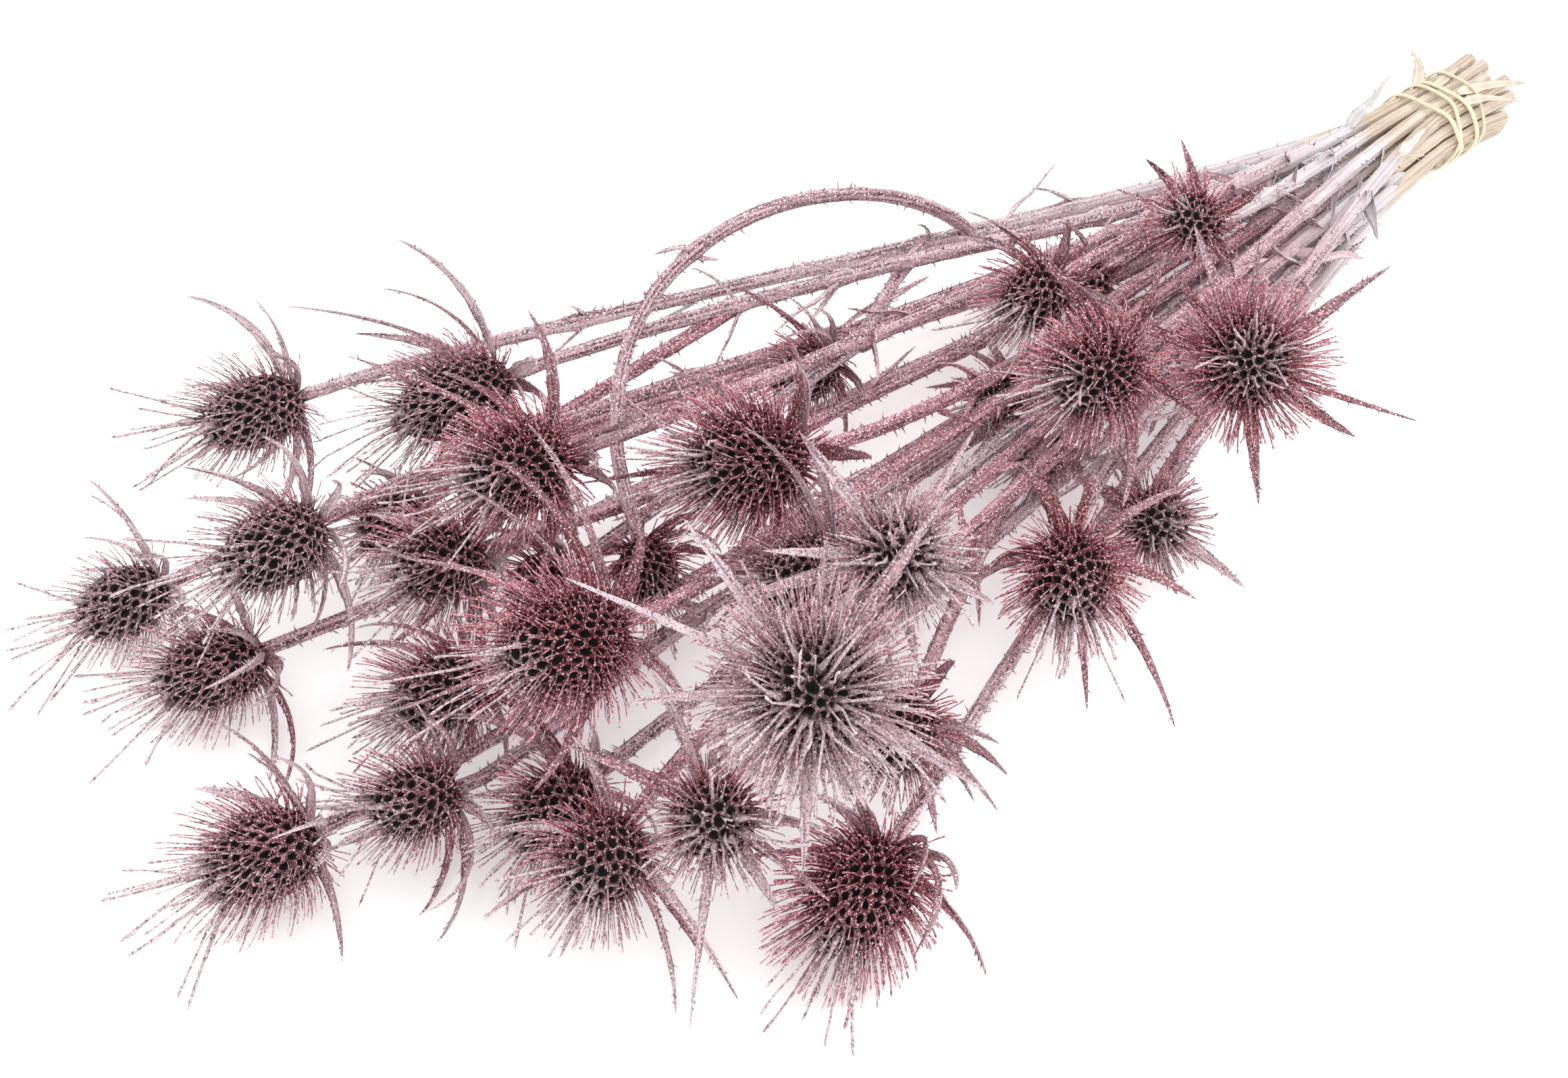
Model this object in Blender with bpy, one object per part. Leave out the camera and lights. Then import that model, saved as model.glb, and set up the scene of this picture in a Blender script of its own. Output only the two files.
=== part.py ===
"""A tied bunch of dried, frosted teasel heads, lying on its side.

Sizes in the table and the constants are millimetres, and MM turns them into Blender's metres.
The bunch lies along X with its cut ends at +X, and +Z is up. While it is laid out, x = 0 is the tie.
"""

import math
import random
from collections import namedtuple

import bmesh
import bpy
import numpy as np
from mathutils import Vector

MM = 0.001
SEED = 7
SHARP = math.radians(50)

# The tie and the stalks where they pass through it
STALK_ROWS = (4, 5, 6, 5, 4)
STALK_PITCH = 6.3
STALK_RADIUS = 2.9
TIE_HALF = 16.0
BAND_THICKNESS = 1.4
BAND_WIDTH = 3.4
STUB_SHORTEST = 24.0
STUB_LONGEST = 36.0
STUB_SPLAY = 1.12

# The stalks and side branches further out
NECK_RADIUS = 2.0
BRANCH_RADIUS = 2.3
NODE_SWELL = 1.25
NODE_LENGTH = 3.5
PRICKLE = 3.0

# The heads
SPINES_PER_SIZE = 0.068
SPINE_ROOT = 1.7
TIP_GAIN = 0.4
CROWN_ROOT = 1.8
BRACT_WIDTH = 5.0
BRACT_THICKNESS = 1.5
SEAT_RADIUS = 2.6

# Clearances
GAP = 0.3
SPINE_CLEAR = 0.5
STALK_CLEAR = 2.4

# How the layout settles: planes across the bunch, and how far from its root each stem starts to give
PLANE_STEP = 10.0
STALK_LOOSENS = 90.0
BRANCH_LOOSENS = 50.0
SETTLE_ROUNDS = 160

# A head's centre, its turn to the side and its lift in degrees, its core's length and radius, and
# the length of its bristles. One on a side branch also has the number of the stalk that it grows
# from, the x where it leaves, how steeply it rises there in degrees, and how far it bows.
Head = namedtuple(
    "Head",
    "x y z turn lift length radius bristle stalk leaves rise bow",
    defaults=(None, 0, 0, 1.0),
)

HEADS = (
    Head(-520, 120, 55, -3, 5, 39, 12.5, 12),
    Head(-465, 75, 60, -3, 3, 46, 14.0, 12),
    Head(-490, 0, 90, 10, 20, 40, 14.5, 12),
    Head(-555, 50, 60, 6, 3, 39, 13.5, 12),
    Head(-590, 100, 21, 0, 3, 34, 11.5, 11),
    Head(-585, 50, 23, -5, 5, 38, 13.0, 12),
    Head(-515, 10, 55, 0, 12, 32, 12.5, 12),
    Head(-525, -70, 85, 8, 20, 44, 16.0, 14),
    Head(-540, -20, 35, 0, 14, 33, 12.5, 12),
    Head(-610, -35, 24, -3, 5, 38, 14.0, 12),
    Head(-545, -115, 42, 33, 15, 33, 13.0, 12),
    Head(-525, -135, 60, 49, 40, 34, 12.0, 12),
    Head(-490, -165, 26, 22, 0, 42, 15.0, 13),
    Head(-505, -160, 120, 49, 42, 46, 16.5, 19),
    Head(-435, -75, 65, 10, 15, 34, 13.0, 12),
    Head(-430, -115, 95, 49, 42, 34, 12.5, 12),
    Head(-430, -45, 85, 0, 20, 44, 16.0, 13),
    Head(-275, -25, 60, 10, 0, 27, 11.5, 12),
    Head(-305, -80, 80, 12, 15, 38, 14.0, 13),
    Head(-300, -45, 17, 5, 5, 22, 8.5, 9),
    Head(-260, -110, 80, 40, 40, 40, 15.5, 16),
    Head(-205, -35, 75, 15, 35, 26, 10.0, 10),
    Head(-360, -125, 50, 41, 5, 36, 13.5, 12),
    Head(-300, -110, 30, 50, 30, 28, 11.0, 10),
    Head(-500, 70, 25, 5, 0, 26, 10.0, 10, 2, -350, 0),
    Head(-485, 5, 35, 5, 0, 26, 10.0, 10, 3, -330, 0),
    Head(-575, -45, 26, 0, 18, 30, 11.5, 11, 10, -440, 10),
    Head(-540, -70, 23, 15, 10, 36, 12.0, 12, 11, -370, 0),
    Head(-445, -135, 40, 35, 20, 30, 12.0, 11, 16, -280, 0),
    Head(-454, -18, 33, 66, -12, 26, 10.0, 10, 1, -226, 93, 2.65),
    Head(-345, 20, 40, 0, -5, 28, 10.0, 10, 1, -250, 0),
    Head(-225, 0, 35, 5, 5, 22, 9.0, 9, 18, -140, 0),
    Head(-295, -30, 35, 5, 5, 24, 9.0, 9, 20, -180, 0),
)
STALKS = sum(STALK_ROWS)
ROW_HEIGHT = STALK_PITCH * math.sin(math.radians(60))
LOWEST_STALK = BAND_THICKNESS + GAP + STALK_RADIUS


def heading(head):
    """The unit vector from a head's base to its tip."""
    turn, lift = math.radians(head.turn), math.radians(head.lift)
    return np.array(
        (-math.cos(lift) * math.cos(turn), -math.cos(lift) * math.sin(turn), math.sin(lift))
    )


def reach(head):
    """How far from the axis a head keeps its neighbours: its core and half of its bristles."""
    return head.radius + 0.5 * head.bristle


# Layout: which stalk goes where, and the line of each stem


def tie_slots():
    """The (y, z) of each stalk in the tie, in rows that nest like stacked pipes."""
    return np.array(
        [
            ((k - (count - 1) / 2) * STALK_PITCH, LOWEST_STALK + row * ROW_HEIGHT)
            for row, count in enumerate(STALK_ROWS)
            for k in range(count)
        ]
    )


def share_slots(slots):
    """Gives each stalk the slot on its head's side, swapping pairs until no two stalks cross."""
    aims = np.array([(head.y / -head.x, head.z / -head.x) for head in HEADS[:STALKS]])
    rising = sorted(range(STALKS), key=lambda i: aims[i, 1])
    taken = [0] * STALKS
    first = 0
    for count in STALK_ROWS:
        row = sorted(rising[first : first + count], key=lambda i: aims[i, 0])
        for k, i in enumerate(row):
            taken[i] = first + k
        first += count
    swapped = True
    while swapped:
        swapped = False
        for i in range(STALKS):
            for j in range(i):
                a, b = slots[taken[i]], slots[taken[j]]
                if (aims[i] - aims[j]) @ (b - a) > 1e-9:
                    taken[i], taken[j] = taken[j], taken[i]
                    swapped = True
    return slots[taken]


def hermite(start, leaving, end, arriving, count=80):
    """Points on the cubic from start to end with those tangents."""
    t = np.linspace(0, 1, count)[:, None]
    return (
        (2 * t**3 - 3 * t**2 + 1) * start
        + (t**3 - 2 * t**2 + t) * leaving
        + (3 * t**2 - 2 * t**3) * end
        + (t**3 - t**2) * arriving
    )


def first_lines():
    """Each stem's line before it settles: its (y, z) on planes across the bunch, and its end planes."""
    planes = np.arange(-TIE_HALF, -640, -PLANE_STEP)
    lines = np.zeros((len(HEADS), len(planes), 2))
    spans = []
    slots = share_slots(tie_slots())
    for i, head in enumerate(HEADS):
        axis = heading(head)
        base = np.array((head.x, head.y, head.z)) - axis * head.length / 2
        if head.stalk is None:
            start = np.array((-TIE_HALF, *slots[i]))
            chord = base - start
            size = np.linalg.norm(chord)
            leaving = 0.6 * chord + np.array((-0.4 * size, 0, 0))
            arriving = 0.55 * size * axis
        else:
            first = int(round((-TIE_HALF - head.leaves) / PLANE_STEP))
            start = np.array((planes[first], *lines[head.stalk - 1, first]))
            chord = base - start
            size = np.linalg.norm(chord)
            rise = math.radians(head.rise)
            leaving = 0.5 * chord + 0.5 * size * np.array((-math.cos(rise), 0, math.sin(rise)))
            leaving *= head.bow
            arriving = 0.7 * size * axis * head.bow
        curve = hermite(start, leaving, base, arriving)
        here = (planes <= start[0] + 1e-6) & (planes > base[0] + 4)
        for k in (0, 1):
            lines[i, here, k] = np.interp(-planes[here], -curve[:, 0], curve[:, k + 1])
        span = np.flatnonzero(here)
        spans.append((span[0], span[-1]))
    return planes, lines, spans


def stem_radius(index, share):
    """The radius of a stem at a share of its way from the tie, or from its fork, to its head."""
    root = STALK_RADIUS if HEADS[index].stalk is None else BRANCH_RADIUS
    return root + (NECK_RADIUS - root) * share


def settle():
    """Pushes stems and heads apart, a little at a time, until none of them cross."""
    planes, start, spans = first_lines()
    count, depth = start.shape[:2]
    index = np.arange(depth)
    valid = np.array([(index >= a) & (index <= b) for a, b in spans])
    share = np.array([np.clip((index - a) / (b - a), 0, 1) for a, b in spans])
    radius = np.array([stem_radius(i, share[i]) for i in range(count)])
    loose = np.array([STALK_LOOSENS if head.stalk is None else BRANCH_LOOSENS for head in HEADS])
    firsts = np.array([a for a, _ in spans])
    ease = np.clip((index[None, :] - firsts[:, None]) * PLANE_STEP / loose[:, None], 0, 1)
    slope = np.gradient(start, axis=1) / PLANE_STEP
    stretch = np.minimum(np.sqrt(1 + (slope**2).sum(axis=2)), 2.0)
    both = valid[:, None] & valid[None, :]
    need = radius[:, None] + radius[None, :] + GAP
    need = need + STALK_CLEAR * np.minimum(ease[:, None], ease[None, :])
    need = need * np.maximum(stretch[:, None], stretch[None, :])
    for i, head in enumerate(HEADS):
        both[i, i] = False
        for j, other in enumerate(HEADS):
            if head.stalk is not None and head.stalk in (j + 1, other.stalk):
                near = index < spans[i][0] + 5
                both[i, j, near] = False
                both[j, i, near] = False
    centres = np.array([(head.x, head.y, head.z) for head in HEADS], float)
    axes = np.array([heading(head) for head in HEADS])
    lengths = np.array([head.length for head in HEADS])
    reaches = np.array([reach(head) for head in HEADS])
    lowest = np.array([head.radius + 0.85 * head.bristle for head in HEADS])
    apart = ~np.eye(count, dtype=bool)
    moved = np.zeros_like(start)
    shifted = np.zeros_like(centres)
    for _ in range(SETTLE_ROUNDS):
        line = start + moved
        push = np.zeros_like(moved)
        nudge = np.zeros_like(shifted)
        gap = line[:, None] - line[None, :]
        far = np.sqrt((gap**2).sum(axis=3)) + 1e-6
        over = np.where(both, np.maximum(need - far, 0), 0)
        push += 0.35 * (gap * (over / far)[..., None]).sum(axis=1)
        for end in (-0.22, 0.22):
            balls = centres + shifted + axes * (lengths * end)[:, None]
            depth_in = planes[None, :] - balls[:, 0, None]
            round_at = np.sqrt(np.maximum(reaches[:, None] ** 2 - depth_in**2, 0))
            keep = np.where(round_at > 0, round_at, -99)[None, :, :] + radius[:, None, :] + GAP
            gap = line[:, None] - balls[None, :, None, 1:]
            far = np.sqrt((gap**2).sum(axis=3)) + 1e-6
            over = np.where(apart[:, :, None] & valid[:, None, :], np.maximum(keep - far, 0), 0)
            away = gap * (over / far)[..., None]
            push += 0.35 * away.sum(axis=1)
            nudge[:, 1:] -= 0.05 * away.sum(axis=(0, 2))
            for other_end in (-0.22, 0.22):
                others = centres + shifted + axes * (lengths * other_end)[:, None]
                gap = balls[:, None] - others[None, :]
                far = np.sqrt((gap**2).sum(axis=2)) + 1e-6
                over = np.where(apart, np.maximum(reaches[:, None] + reaches[None, :] - far, 0), 0)
                nudge += 0.15 * (gap * (over / far)[..., None]).sum(axis=1)
        nudge[:, 2] += 0.5 * np.maximum(lowest - centres[:, 2] - shifted[:, 2], 0)
        push[..., 1] += np.where(valid, 0.5 * np.maximum(radius - line[..., 1], 0), 0)
        shifted = 0.995 * (shifted + np.clip(nudge, -2, 2))
        moved = (moved + np.clip(push, -2, 2)) * ease[..., None]
        for i, (a, b) in enumerate(spans):
            moved[i, b + 1 :] = shifted[i, 1:]
            if HEADS[i].stalk is not None:
                moved[i, : a + 1] = moved[HEADS[i].stalk - 1, a]
        for _ in range(2):
            moved[:, 1:-1] = 0.25 * moved[:, :-2] + 0.5 * moved[:, 1:-1] + 0.25 * moved[:, 2:]
    return planes, start + moved, spans, centres + shifted


def smooth(points, count):
    """A Catmull-Rom curve through the points, read at evenly spaced places along it."""
    ends = np.vstack((2 * points[0] - points[1], points, 2 * points[-1] - points[-2]))
    steps = np.linspace(0, 1, 6, endpoint=False)[:, None]
    pieces = []
    for k in range(1, len(ends) - 2):
        a, b, c, d = ends[k - 1 : k + 3]
        straight = 2 * b + (c - a) * steps
        bent = (2 * a - 5 * b + 4 * c - d) * steps**2 + (3 * b - a - 3 * c + d) * steps**3
        pieces.append(0.5 * (straight + bent))
    curve = np.vstack((*pieces, points[-1]))
    along = distance_along(curve)
    at = np.linspace(0, along[-1], count)
    return np.stack([np.interp(at, along, curve[:, k]) for k in range(3)], axis=1)


def distance_along(curve):
    return np.concatenate(([0], np.cumsum(np.linalg.norm(np.diff(curve, axis=0), axis=1))))


def stem_lines():
    """Each stem as closely spaced points from the tie or its fork to its head, and the heads' bases."""
    planes, lines, spans, centres = settle()
    stems = []
    bases = []
    for i, head in enumerate(HEADS):
        axis = heading(head)
        base = centres[i] - axis * head.length / 2
        first, last = spans[i]
        while planes[last] < base[0] + 9 and last > first + 2:
            last -= 1
        points = np.column_stack((planes[first : last + 1], lines[i, first : last + 1]))
        points = np.vstack((points[:-1:2], points[-1:], base - axis * GAP))
        stems.append(smooth(points, 160))
        bases.append(base)
    return stems, bases


# What must stay clear of what: points with a radius round them


class Obstacles:
    """Balls along everything placed so far, which a new bristle or bract stays clear of."""

    def __init__(self):
        self.points = np.zeros((0, 3))
        self.radii = np.zeros(0)
        self.owners = np.zeros(0, int)

    def add(self, points, radii, owner):
        self.points = np.vstack((self.points, points))
        self.radii = np.append(self.radii, np.broadcast_to(radii, len(points)))
        self.owners = np.append(self.owners, np.full(len(points), owner))

    def near(self, centre, distance, owner):
        """Those within a distance of a point that belong to others."""
        found = (np.linalg.norm(self.points - centre, axis=1) < distance) & (self.owners != owner)
        return self.points[found], self.radii[found]


def clear_share(path, radii, balls):
    """The share of a path, from its root, that stays above the floor and clear of the balls."""
    blocked = path[:, 2] - radii < 0
    points, sizes = balls
    if len(points):
        far = np.linalg.norm(path[:, None] - points[None], axis=2) - sizes[None]
        blocked |= far.min(axis=1) < radii + SPINE_CLEAR
    stops = np.flatnonzero(blocked)
    return 1.0 if not len(stops) else (stops[0] - 0.5) / (len(path) - 1)


# Meshes


def material(name, colour, roughness):
    made = bpy.data.materials.new(name)
    made.use_nodes = True
    shader = made.node_tree.nodes["Principled BSDF"]
    shader.inputs["Base Color"].default_value = (*colour, 1)
    shader.inputs["Roughness"].default_value = roughness
    shader.inputs["Metallic"].default_value = 0
    return made


def new_object(name, bm, finish, parent):
    mesh = bpy.data.meshes.new(name)
    bmesh.ops.recalc_face_normals(bm, faces=bm.faces)
    bm.to_mesh(mesh)
    bm.free()
    mesh.materials.append(finish)
    mesh.shade_smooth()
    mesh.set_sharp_from_angle(angle=SHARP)
    obj = bpy.data.objects.new(name, mesh)
    obj.parent = parent
    bpy.context.scene.collection.objects.link(obj)
    return obj


def frames(points, end_axis):
    """A side and an up vector at each point, carried along the line without twisting."""
    tangents = np.gradient(points, axis=0)
    tangents /= np.linalg.norm(tangents, axis=1)[:, None]
    tangents[-1] = end_axis
    up = np.array((0, 0, 1.0))
    made = []
    for tangent in tangents:
        up = up - tangent * (up @ tangent)
        up /= np.linalg.norm(up)
        made.append((np.cross(tangent, up), up))
    return made


def tube(bm, points, radii, sides, end_axis, spikes=()):
    """A closed tube. A spike (ring, side, height) raises the middle of that face into a prickle."""
    rings = []
    for (side, up), point, radius in zip(frames(points, end_axis), points, radii):
        angles = [2 * math.pi * (k + 0.5) / sides - math.pi / 2 for k in range(sides)]
        rings.append(
            [bm.verts.new((point + radius * (math.cos(a) * side + math.sin(a) * up)) * MM) for a in angles]
        )
    raised = {(ring, side): height for ring, side, height in spikes}
    for r, (near, far) in enumerate(zip(rings, rings[1:])):
        for k in range(sides):
            corners = (near[k], near[(k + 1) % sides], far[(k + 1) % sides], far[k])
            if (r, k) in raised:
                middle = sum((v.co for v in corners), Vector()) / 4
                out = (middle - Vector((points[r] + points[r + 1]) / 2 * MM)).normalized()
                tip = bm.verts.new(middle + out * raised[r, k] * MM)
                for a in range(4):
                    bm.faces.new((corners[a], corners[(a + 1) % 4], tip))
            else:
                bm.faces.new(corners)
    bm.faces.new(rings[0])
    bm.faces.new(rings[-1])


def ring_places(stem, most):
    """Where a tube's rings go along a stem: closer together where it bends."""
    tangents = np.gradient(stem, axis=0)
    tangents /= np.linalg.norm(tangents, axis=1)[:, None]
    bend = np.arccos(np.clip((tangents[1:] * tangents[:-1]).sum(axis=1), -1, 1))
    cost = np.concatenate(([0], np.cumsum(np.linalg.norm(np.diff(stem, axis=0), axis=1) + 130 * bend)))
    return np.interp(np.linspace(0, cost[-1], most), cost, distance_along(stem))


def at_distance(stem, distances):
    along = distance_along(stem)
    return np.stack([np.interp(distances, along, stem[:, k]) for k in range(3)], axis=1)


def stem_tube(bm, index, stem, most, sides, nodes, others, rng, stub=None):
    """One stem with its swollen, prickly nodes, kept clear of the other stems."""
    length = distance_along(stem)[-1]
    places = [p for p in ring_places(stem, most) if all(abs(p - n) > 2.5 * NODE_LENGTH for n in nodes)]
    places = sorted(places + [n for node in nodes for n in (node, node + NODE_LENGTH)])
    places[0] = 0
    points = at_distance(stem, places)
    radii = stem_radius(index, np.array(places) / length)
    spikes = []
    for ring, place in enumerate(places):
        room = clearance(points[ring], others) - radii[ring] - GAP
        radii[ring] += min(room, 0)
        if any(n <= place <= n + NODE_LENGTH for n in nodes):
            radii[ring] *= 1 + (NODE_SWELL - 1) * min(1, max(room, 0) / 2)
        if place in nodes and room > 1.5 and 20 < place < length - 15:
            turn = rng.randrange(sides)
            spikes += [(ring, turn, min(PRICKLE, room)), (ring, (turn + 2) % sides, min(PRICKLE, room))]
    if stub is not None:
        points = np.vstack((stub, points))
        radii = np.concatenate(([radii[0], radii[0]], radii))
        spikes = [(ring + 2, side, height) for ring, side, height in spikes]
    tube(bm, points, radii, sides, heading(HEADS[index]), spikes)


def clearance(point, others):
    """How far the surface of the nearest other stem is."""
    points, radii = others
    return (np.linalg.norm(points - point, axis=1) - radii).min()


def stub_points(slot, rng):
    """The cut end of a stalk beyond the tie, which splays a little, and where it enters the tie."""
    middle = np.array((0, LOWEST_STALK + 2 * ROW_HEIGHT))
    end = middle + (slot - middle) * STUB_SPLAY
    length = rng.uniform(STUB_SHORTEST, STUB_LONGEST)
    return np.array(((length, *end), (TIE_HALF * 0.9, *slot)))


def make_stalk(number, stems, tubes, parent, finish):
    """A stalk from its cut end to its head's seat, with any side branch joined to it."""
    rng = random.Random(SEED + number)
    index = number - 1
    own = [i for i, head in enumerate(HEADS) if i == index or head.stalk == number]
    others = tuple(np.concatenate([tubes[i][k] for i in range(len(HEADS)) if i not in own]) for k in (0, 1))
    shapes = []
    for i in own:
        bm = bmesh.new()
        length = distance_along(stems[i])[-1]
        if i == index:
            nodes = sorted(rng.uniform(a, b) * length for a, b in ((0.3, 0.45), (0.6, 0.78)))
            stem_tube(bm, i, stems[i], 11, 5, nodes, others, rng, stub_points(stems[i][0, 1:], rng))
        else:
            stem_tube(bm, i, stems[i], 7, 4, (0.55 * length,), others, rng)
        name = f"stalk_{number:02d}" if i == index else f"branch_{i}"
        shapes.append(new_object(name, bm, finish, parent))
    if len(shapes) > 1:
        join(shapes[0], shapes[1:])
    return shapes[0]


def join(body, pieces):
    """One Boolean union of a stalk with its branches, applied."""
    gathered = bpy.data.collections.new("branches")
    for piece in pieces:
        gathered.objects.link(piece)
        bpy.context.scene.collection.objects.unlink(piece)
    union = body.modifiers.new("union", "BOOLEAN")
    union.operation = "UNION"
    union.operand_type = "COLLECTION"
    union.collection = gathered
    graph = bpy.context.evaluated_depsgraph_get()
    joined = bpy.data.meshes.new_from_object(body.evaluated_get(graph))
    body.modifiers.clear()
    body.data = joined
    for piece in pieces:
        bpy.data.objects.remove(piece)
    bpy.data.collections.remove(gathered)


def core_point(head, polar):
    """The egg-shaped core at a polar angle from its base: its radius, and how far along the axis it is."""
    along = -0.5 * head.length * math.cos(polar)
    round_at = head.radius * math.sin(polar) * (1 + 0.1 * math.cos(polar))
    return round_at, along


def head_frame(head):
    axis = heading(head)
    side = np.cross(axis, (0, 0, 1.0))
    side /= np.linalg.norm(side)
    return axis, side, np.cross(side, axis)


def surface(head, centre, polar, turn):
    """A point on the core, with the directions away from the axis, off the surface, up it and round it."""
    axis, side, up = head_frame(head)
    out = math.cos(turn) * side + math.sin(turn) * up
    round_at, along = core_point(head, polar)
    wider, further = core_point(head, polar + 0.01)
    tangent = (wider - round_at) * out + (further - along) * axis
    tangent /= np.linalg.norm(tangent)
    circle = np.cross(axis, out)
    normal = np.cross(circle, tangent)
    normal *= math.copysign(1, normal @ out)
    return centre + round_at * out + along * axis, out, normal, tangent, circle


def bract_path(head, centre, polar, turn, length, open_angle, close_angle, count):
    """The middle line of a bract, which leaves the base sideways and bends towards the tip."""
    point, out, _, _, circle = surface(head, centre, polar, turn)
    axis = heading(head)
    line = [point]
    for k in range(count - 1):
        share = (k + 0.5) / (count - 1)
        angle = math.radians(open_angle + (close_angle - open_angle) * share)
        line.append(line[-1] + (math.sin(angle) * out + math.cos(angle) * axis) * length / (count - 1))
    return np.array(line), circle


def bract_sections(path, circle, length, clear):
    """Three-sided sections of a bract at a third and two thirds of its clear length, and its tip."""
    sections = []
    along = distance_along(path)
    for share in (0.35, 0.7):
        at = share * clear * length
        point = np.array([np.interp(at, along, path[:, k]) for k in range(3)])
        step = np.array([np.interp(at + 0.5, along, path[:, k]) for k in range(3)]) - point
        under = np.cross(circle, step / np.linalg.norm(step))
        width = BRACT_WIDTH * (1 - share) ** 0.7
        thick = BRACT_THICKNESS * (1 - 0.4 * share)
        sections.append((point - circle * width / 2, point + circle * width / 2, point + under * thick))
    tip = np.array([np.interp(clear * length, along, path[:, k]) for k in range(3)])
    return sections, tip


def make_head(number, centre, obstacles, parent, finish):
    """An egg-shaped core with bristles in a spiral, long spines at its tip and bracts round its base."""
    head = HEADS[number - 1]
    rng = random.Random(SEED * 100 + number)
    axis, side, up = head_frame(head)
    size = head.length + head.bristle
    growths = []
    balls = obstacles.near(centre, 2.6 * size, number)
    mine = Obstacles()

    bracts = 5 if head.radius > 11 else 4
    first_turn = rng.uniform(0, 2 * math.pi)
    for k in range(bracts):
        best = None
        length = head.length * rng.uniform(0.95, 1.45)
        for attempt in range(7):
            turn = first_turn + 2 * math.pi * (k + rng.uniform(-0.2, 0.2)) / bracts
            spread = (rng.uniform(80, 100), rng.uniform(20, 60))
            polar = math.radians(30)
            path, circle = bract_path(head, centre, polar, turn, length, *spread, 26)
            share = clear_share(path, 2.2 - 1.7 * np.linspace(0, 1, 26), balls)
            if best is None or share > best[0] + 0.02:
                best = (share, path, circle, turn, polar)
        share, path, circle, turn, polar = best
        root, out, normal, tangent, circle = surface(head, centre, polar, turn)
        corners = (
            root - circle * BRACT_WIDTH / 2 + tangent * 0.4,
            root + circle * BRACT_WIDTH / 2 + tangent * 0.4,
            root - tangent * 1.4,
        )
        if share * length > 8:
            sections, tip = bract_sections(path, circle, length, share)
            sections = [tuple(s) for s in sections]
            count = max(2, int(share * length / 1.2))
            mine.add(*ball_row(path, share, count, 2.0, 0.5), number)
        else:
            sections, tip = [], None
        growths.append((corners, sections, tip))

    spines = int(round(SPINES_PER_SIZE * head.radius * head.length))
    golden = math.pi * (3 - math.sqrt(5))
    lowest, highest = math.cos(math.radians(52)), math.cos(math.radians(165))
    crown = 5 if head.radius > 11 else 4
    for k in range(spines + crown):
        if k < spines:
            polar = math.acos(lowest + (highest - lowest) * (k + 0.5) / spines)
            turn = golden * k
            length = head.bristle * rng.uniform(0.9, 1.12) * (0.95 + TIP_GAIN * k / spines)
            lean = 0.5 + 0.35 * k / spines
            root_size = SPINE_ROOT
        else:
            polar = math.radians(158)
            turn = golden * spines + 2 * math.pi * (k + 0.5) / crown
            length = head.length * rng.uniform(0.55, 0.85)
            lean = rng.uniform(1.3, 2.4)
            root_size = CROWN_ROOT
        root, out, normal, tangent, circle = surface(head, centre, polar, turn)
        corners = tuple(
            root + root_size / math.sqrt(3) * (math.cos(a) * tangent + math.sin(a) * circle)
            for a in (0, 2 * math.pi / 3, 4 * math.pi / 3)
        )
        way = normal + lean * axis
        way /= np.linalg.norm(way)
        path = root + way * np.linspace(0, length, int(length) + 2)[:, None]
        radii = root_size / 2 * (1 - np.linspace(0, 1, len(path)))
        own_bracts = mine.near(root, 60, -1)
        share = min(clear_share(path, radii, balls), clear_share(path[2:], radii[2:], own_bracts))
        if share * length > 2:
            growths.append((corners, [], root + way * length * share))
            mine.add(*ball_row(path, share, int(length * share) + 2, root_size / 2, 0.1), number)
    obstacles.add(mine.points, mine.radii, number)

    bm = bmesh.new()
    base = centre - axis * head.length / 2
    for k in range(5):
        turn = 2 * math.pi * k / 5
        bm.verts.new((base + SEAT_RADIUS * (math.cos(turn) * side + math.sin(turn) * up)) * MM)
    roots = [[bm.verts.new(corner * MM) for corner in corners] for corners, _, _ in growths]
    bmesh.ops.convex_hull(bm, input=bm.verts)
    for corners, (_, sections, tip) in zip(roots, growths):
        face = bm.faces.get(corners)
        if face is None or tip is None:
            continue
        bm.faces.remove(face)
        for section in sections:
            following = [bm.verts.new(point * MM) for point in section]
            for a in range(3):
                b = (a + 1) % 3
                bm.faces.new((corners[a], corners[b], following[b], following[a]))
            corners = following
        end = bm.verts.new(tip * MM)
        for a in range(3):
            bm.faces.new((corners[a], corners[(a + 1) % 3], end))
    bmesh.ops.triangulate(bm, faces=bm.faces)
    return new_object(f"head_{number:02d}", bm, finish, parent)


def ball_row(path, share, count, thick, thin):
    """Balls along the first share of a path, tapering."""
    at = np.linspace(0, share, count) * (len(path) - 1)
    points = np.stack([np.interp(at, np.arange(len(path)), path[:, k]) for k in range(3)], axis=1)
    return points, np.linspace(thick, thin, count)


def core_balls(head, centre):
    """The core as a row of balls, for what grows from other heads to stay clear of."""
    axis = heading(head)
    angles = np.radians(np.linspace(25, 155, 9))
    points = np.array([centre + core_point(head, a)[1] * axis * 0.9 for a in angles])
    return points, np.array([core_point(head, a)[0] + 0.3 for a in angles])


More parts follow.
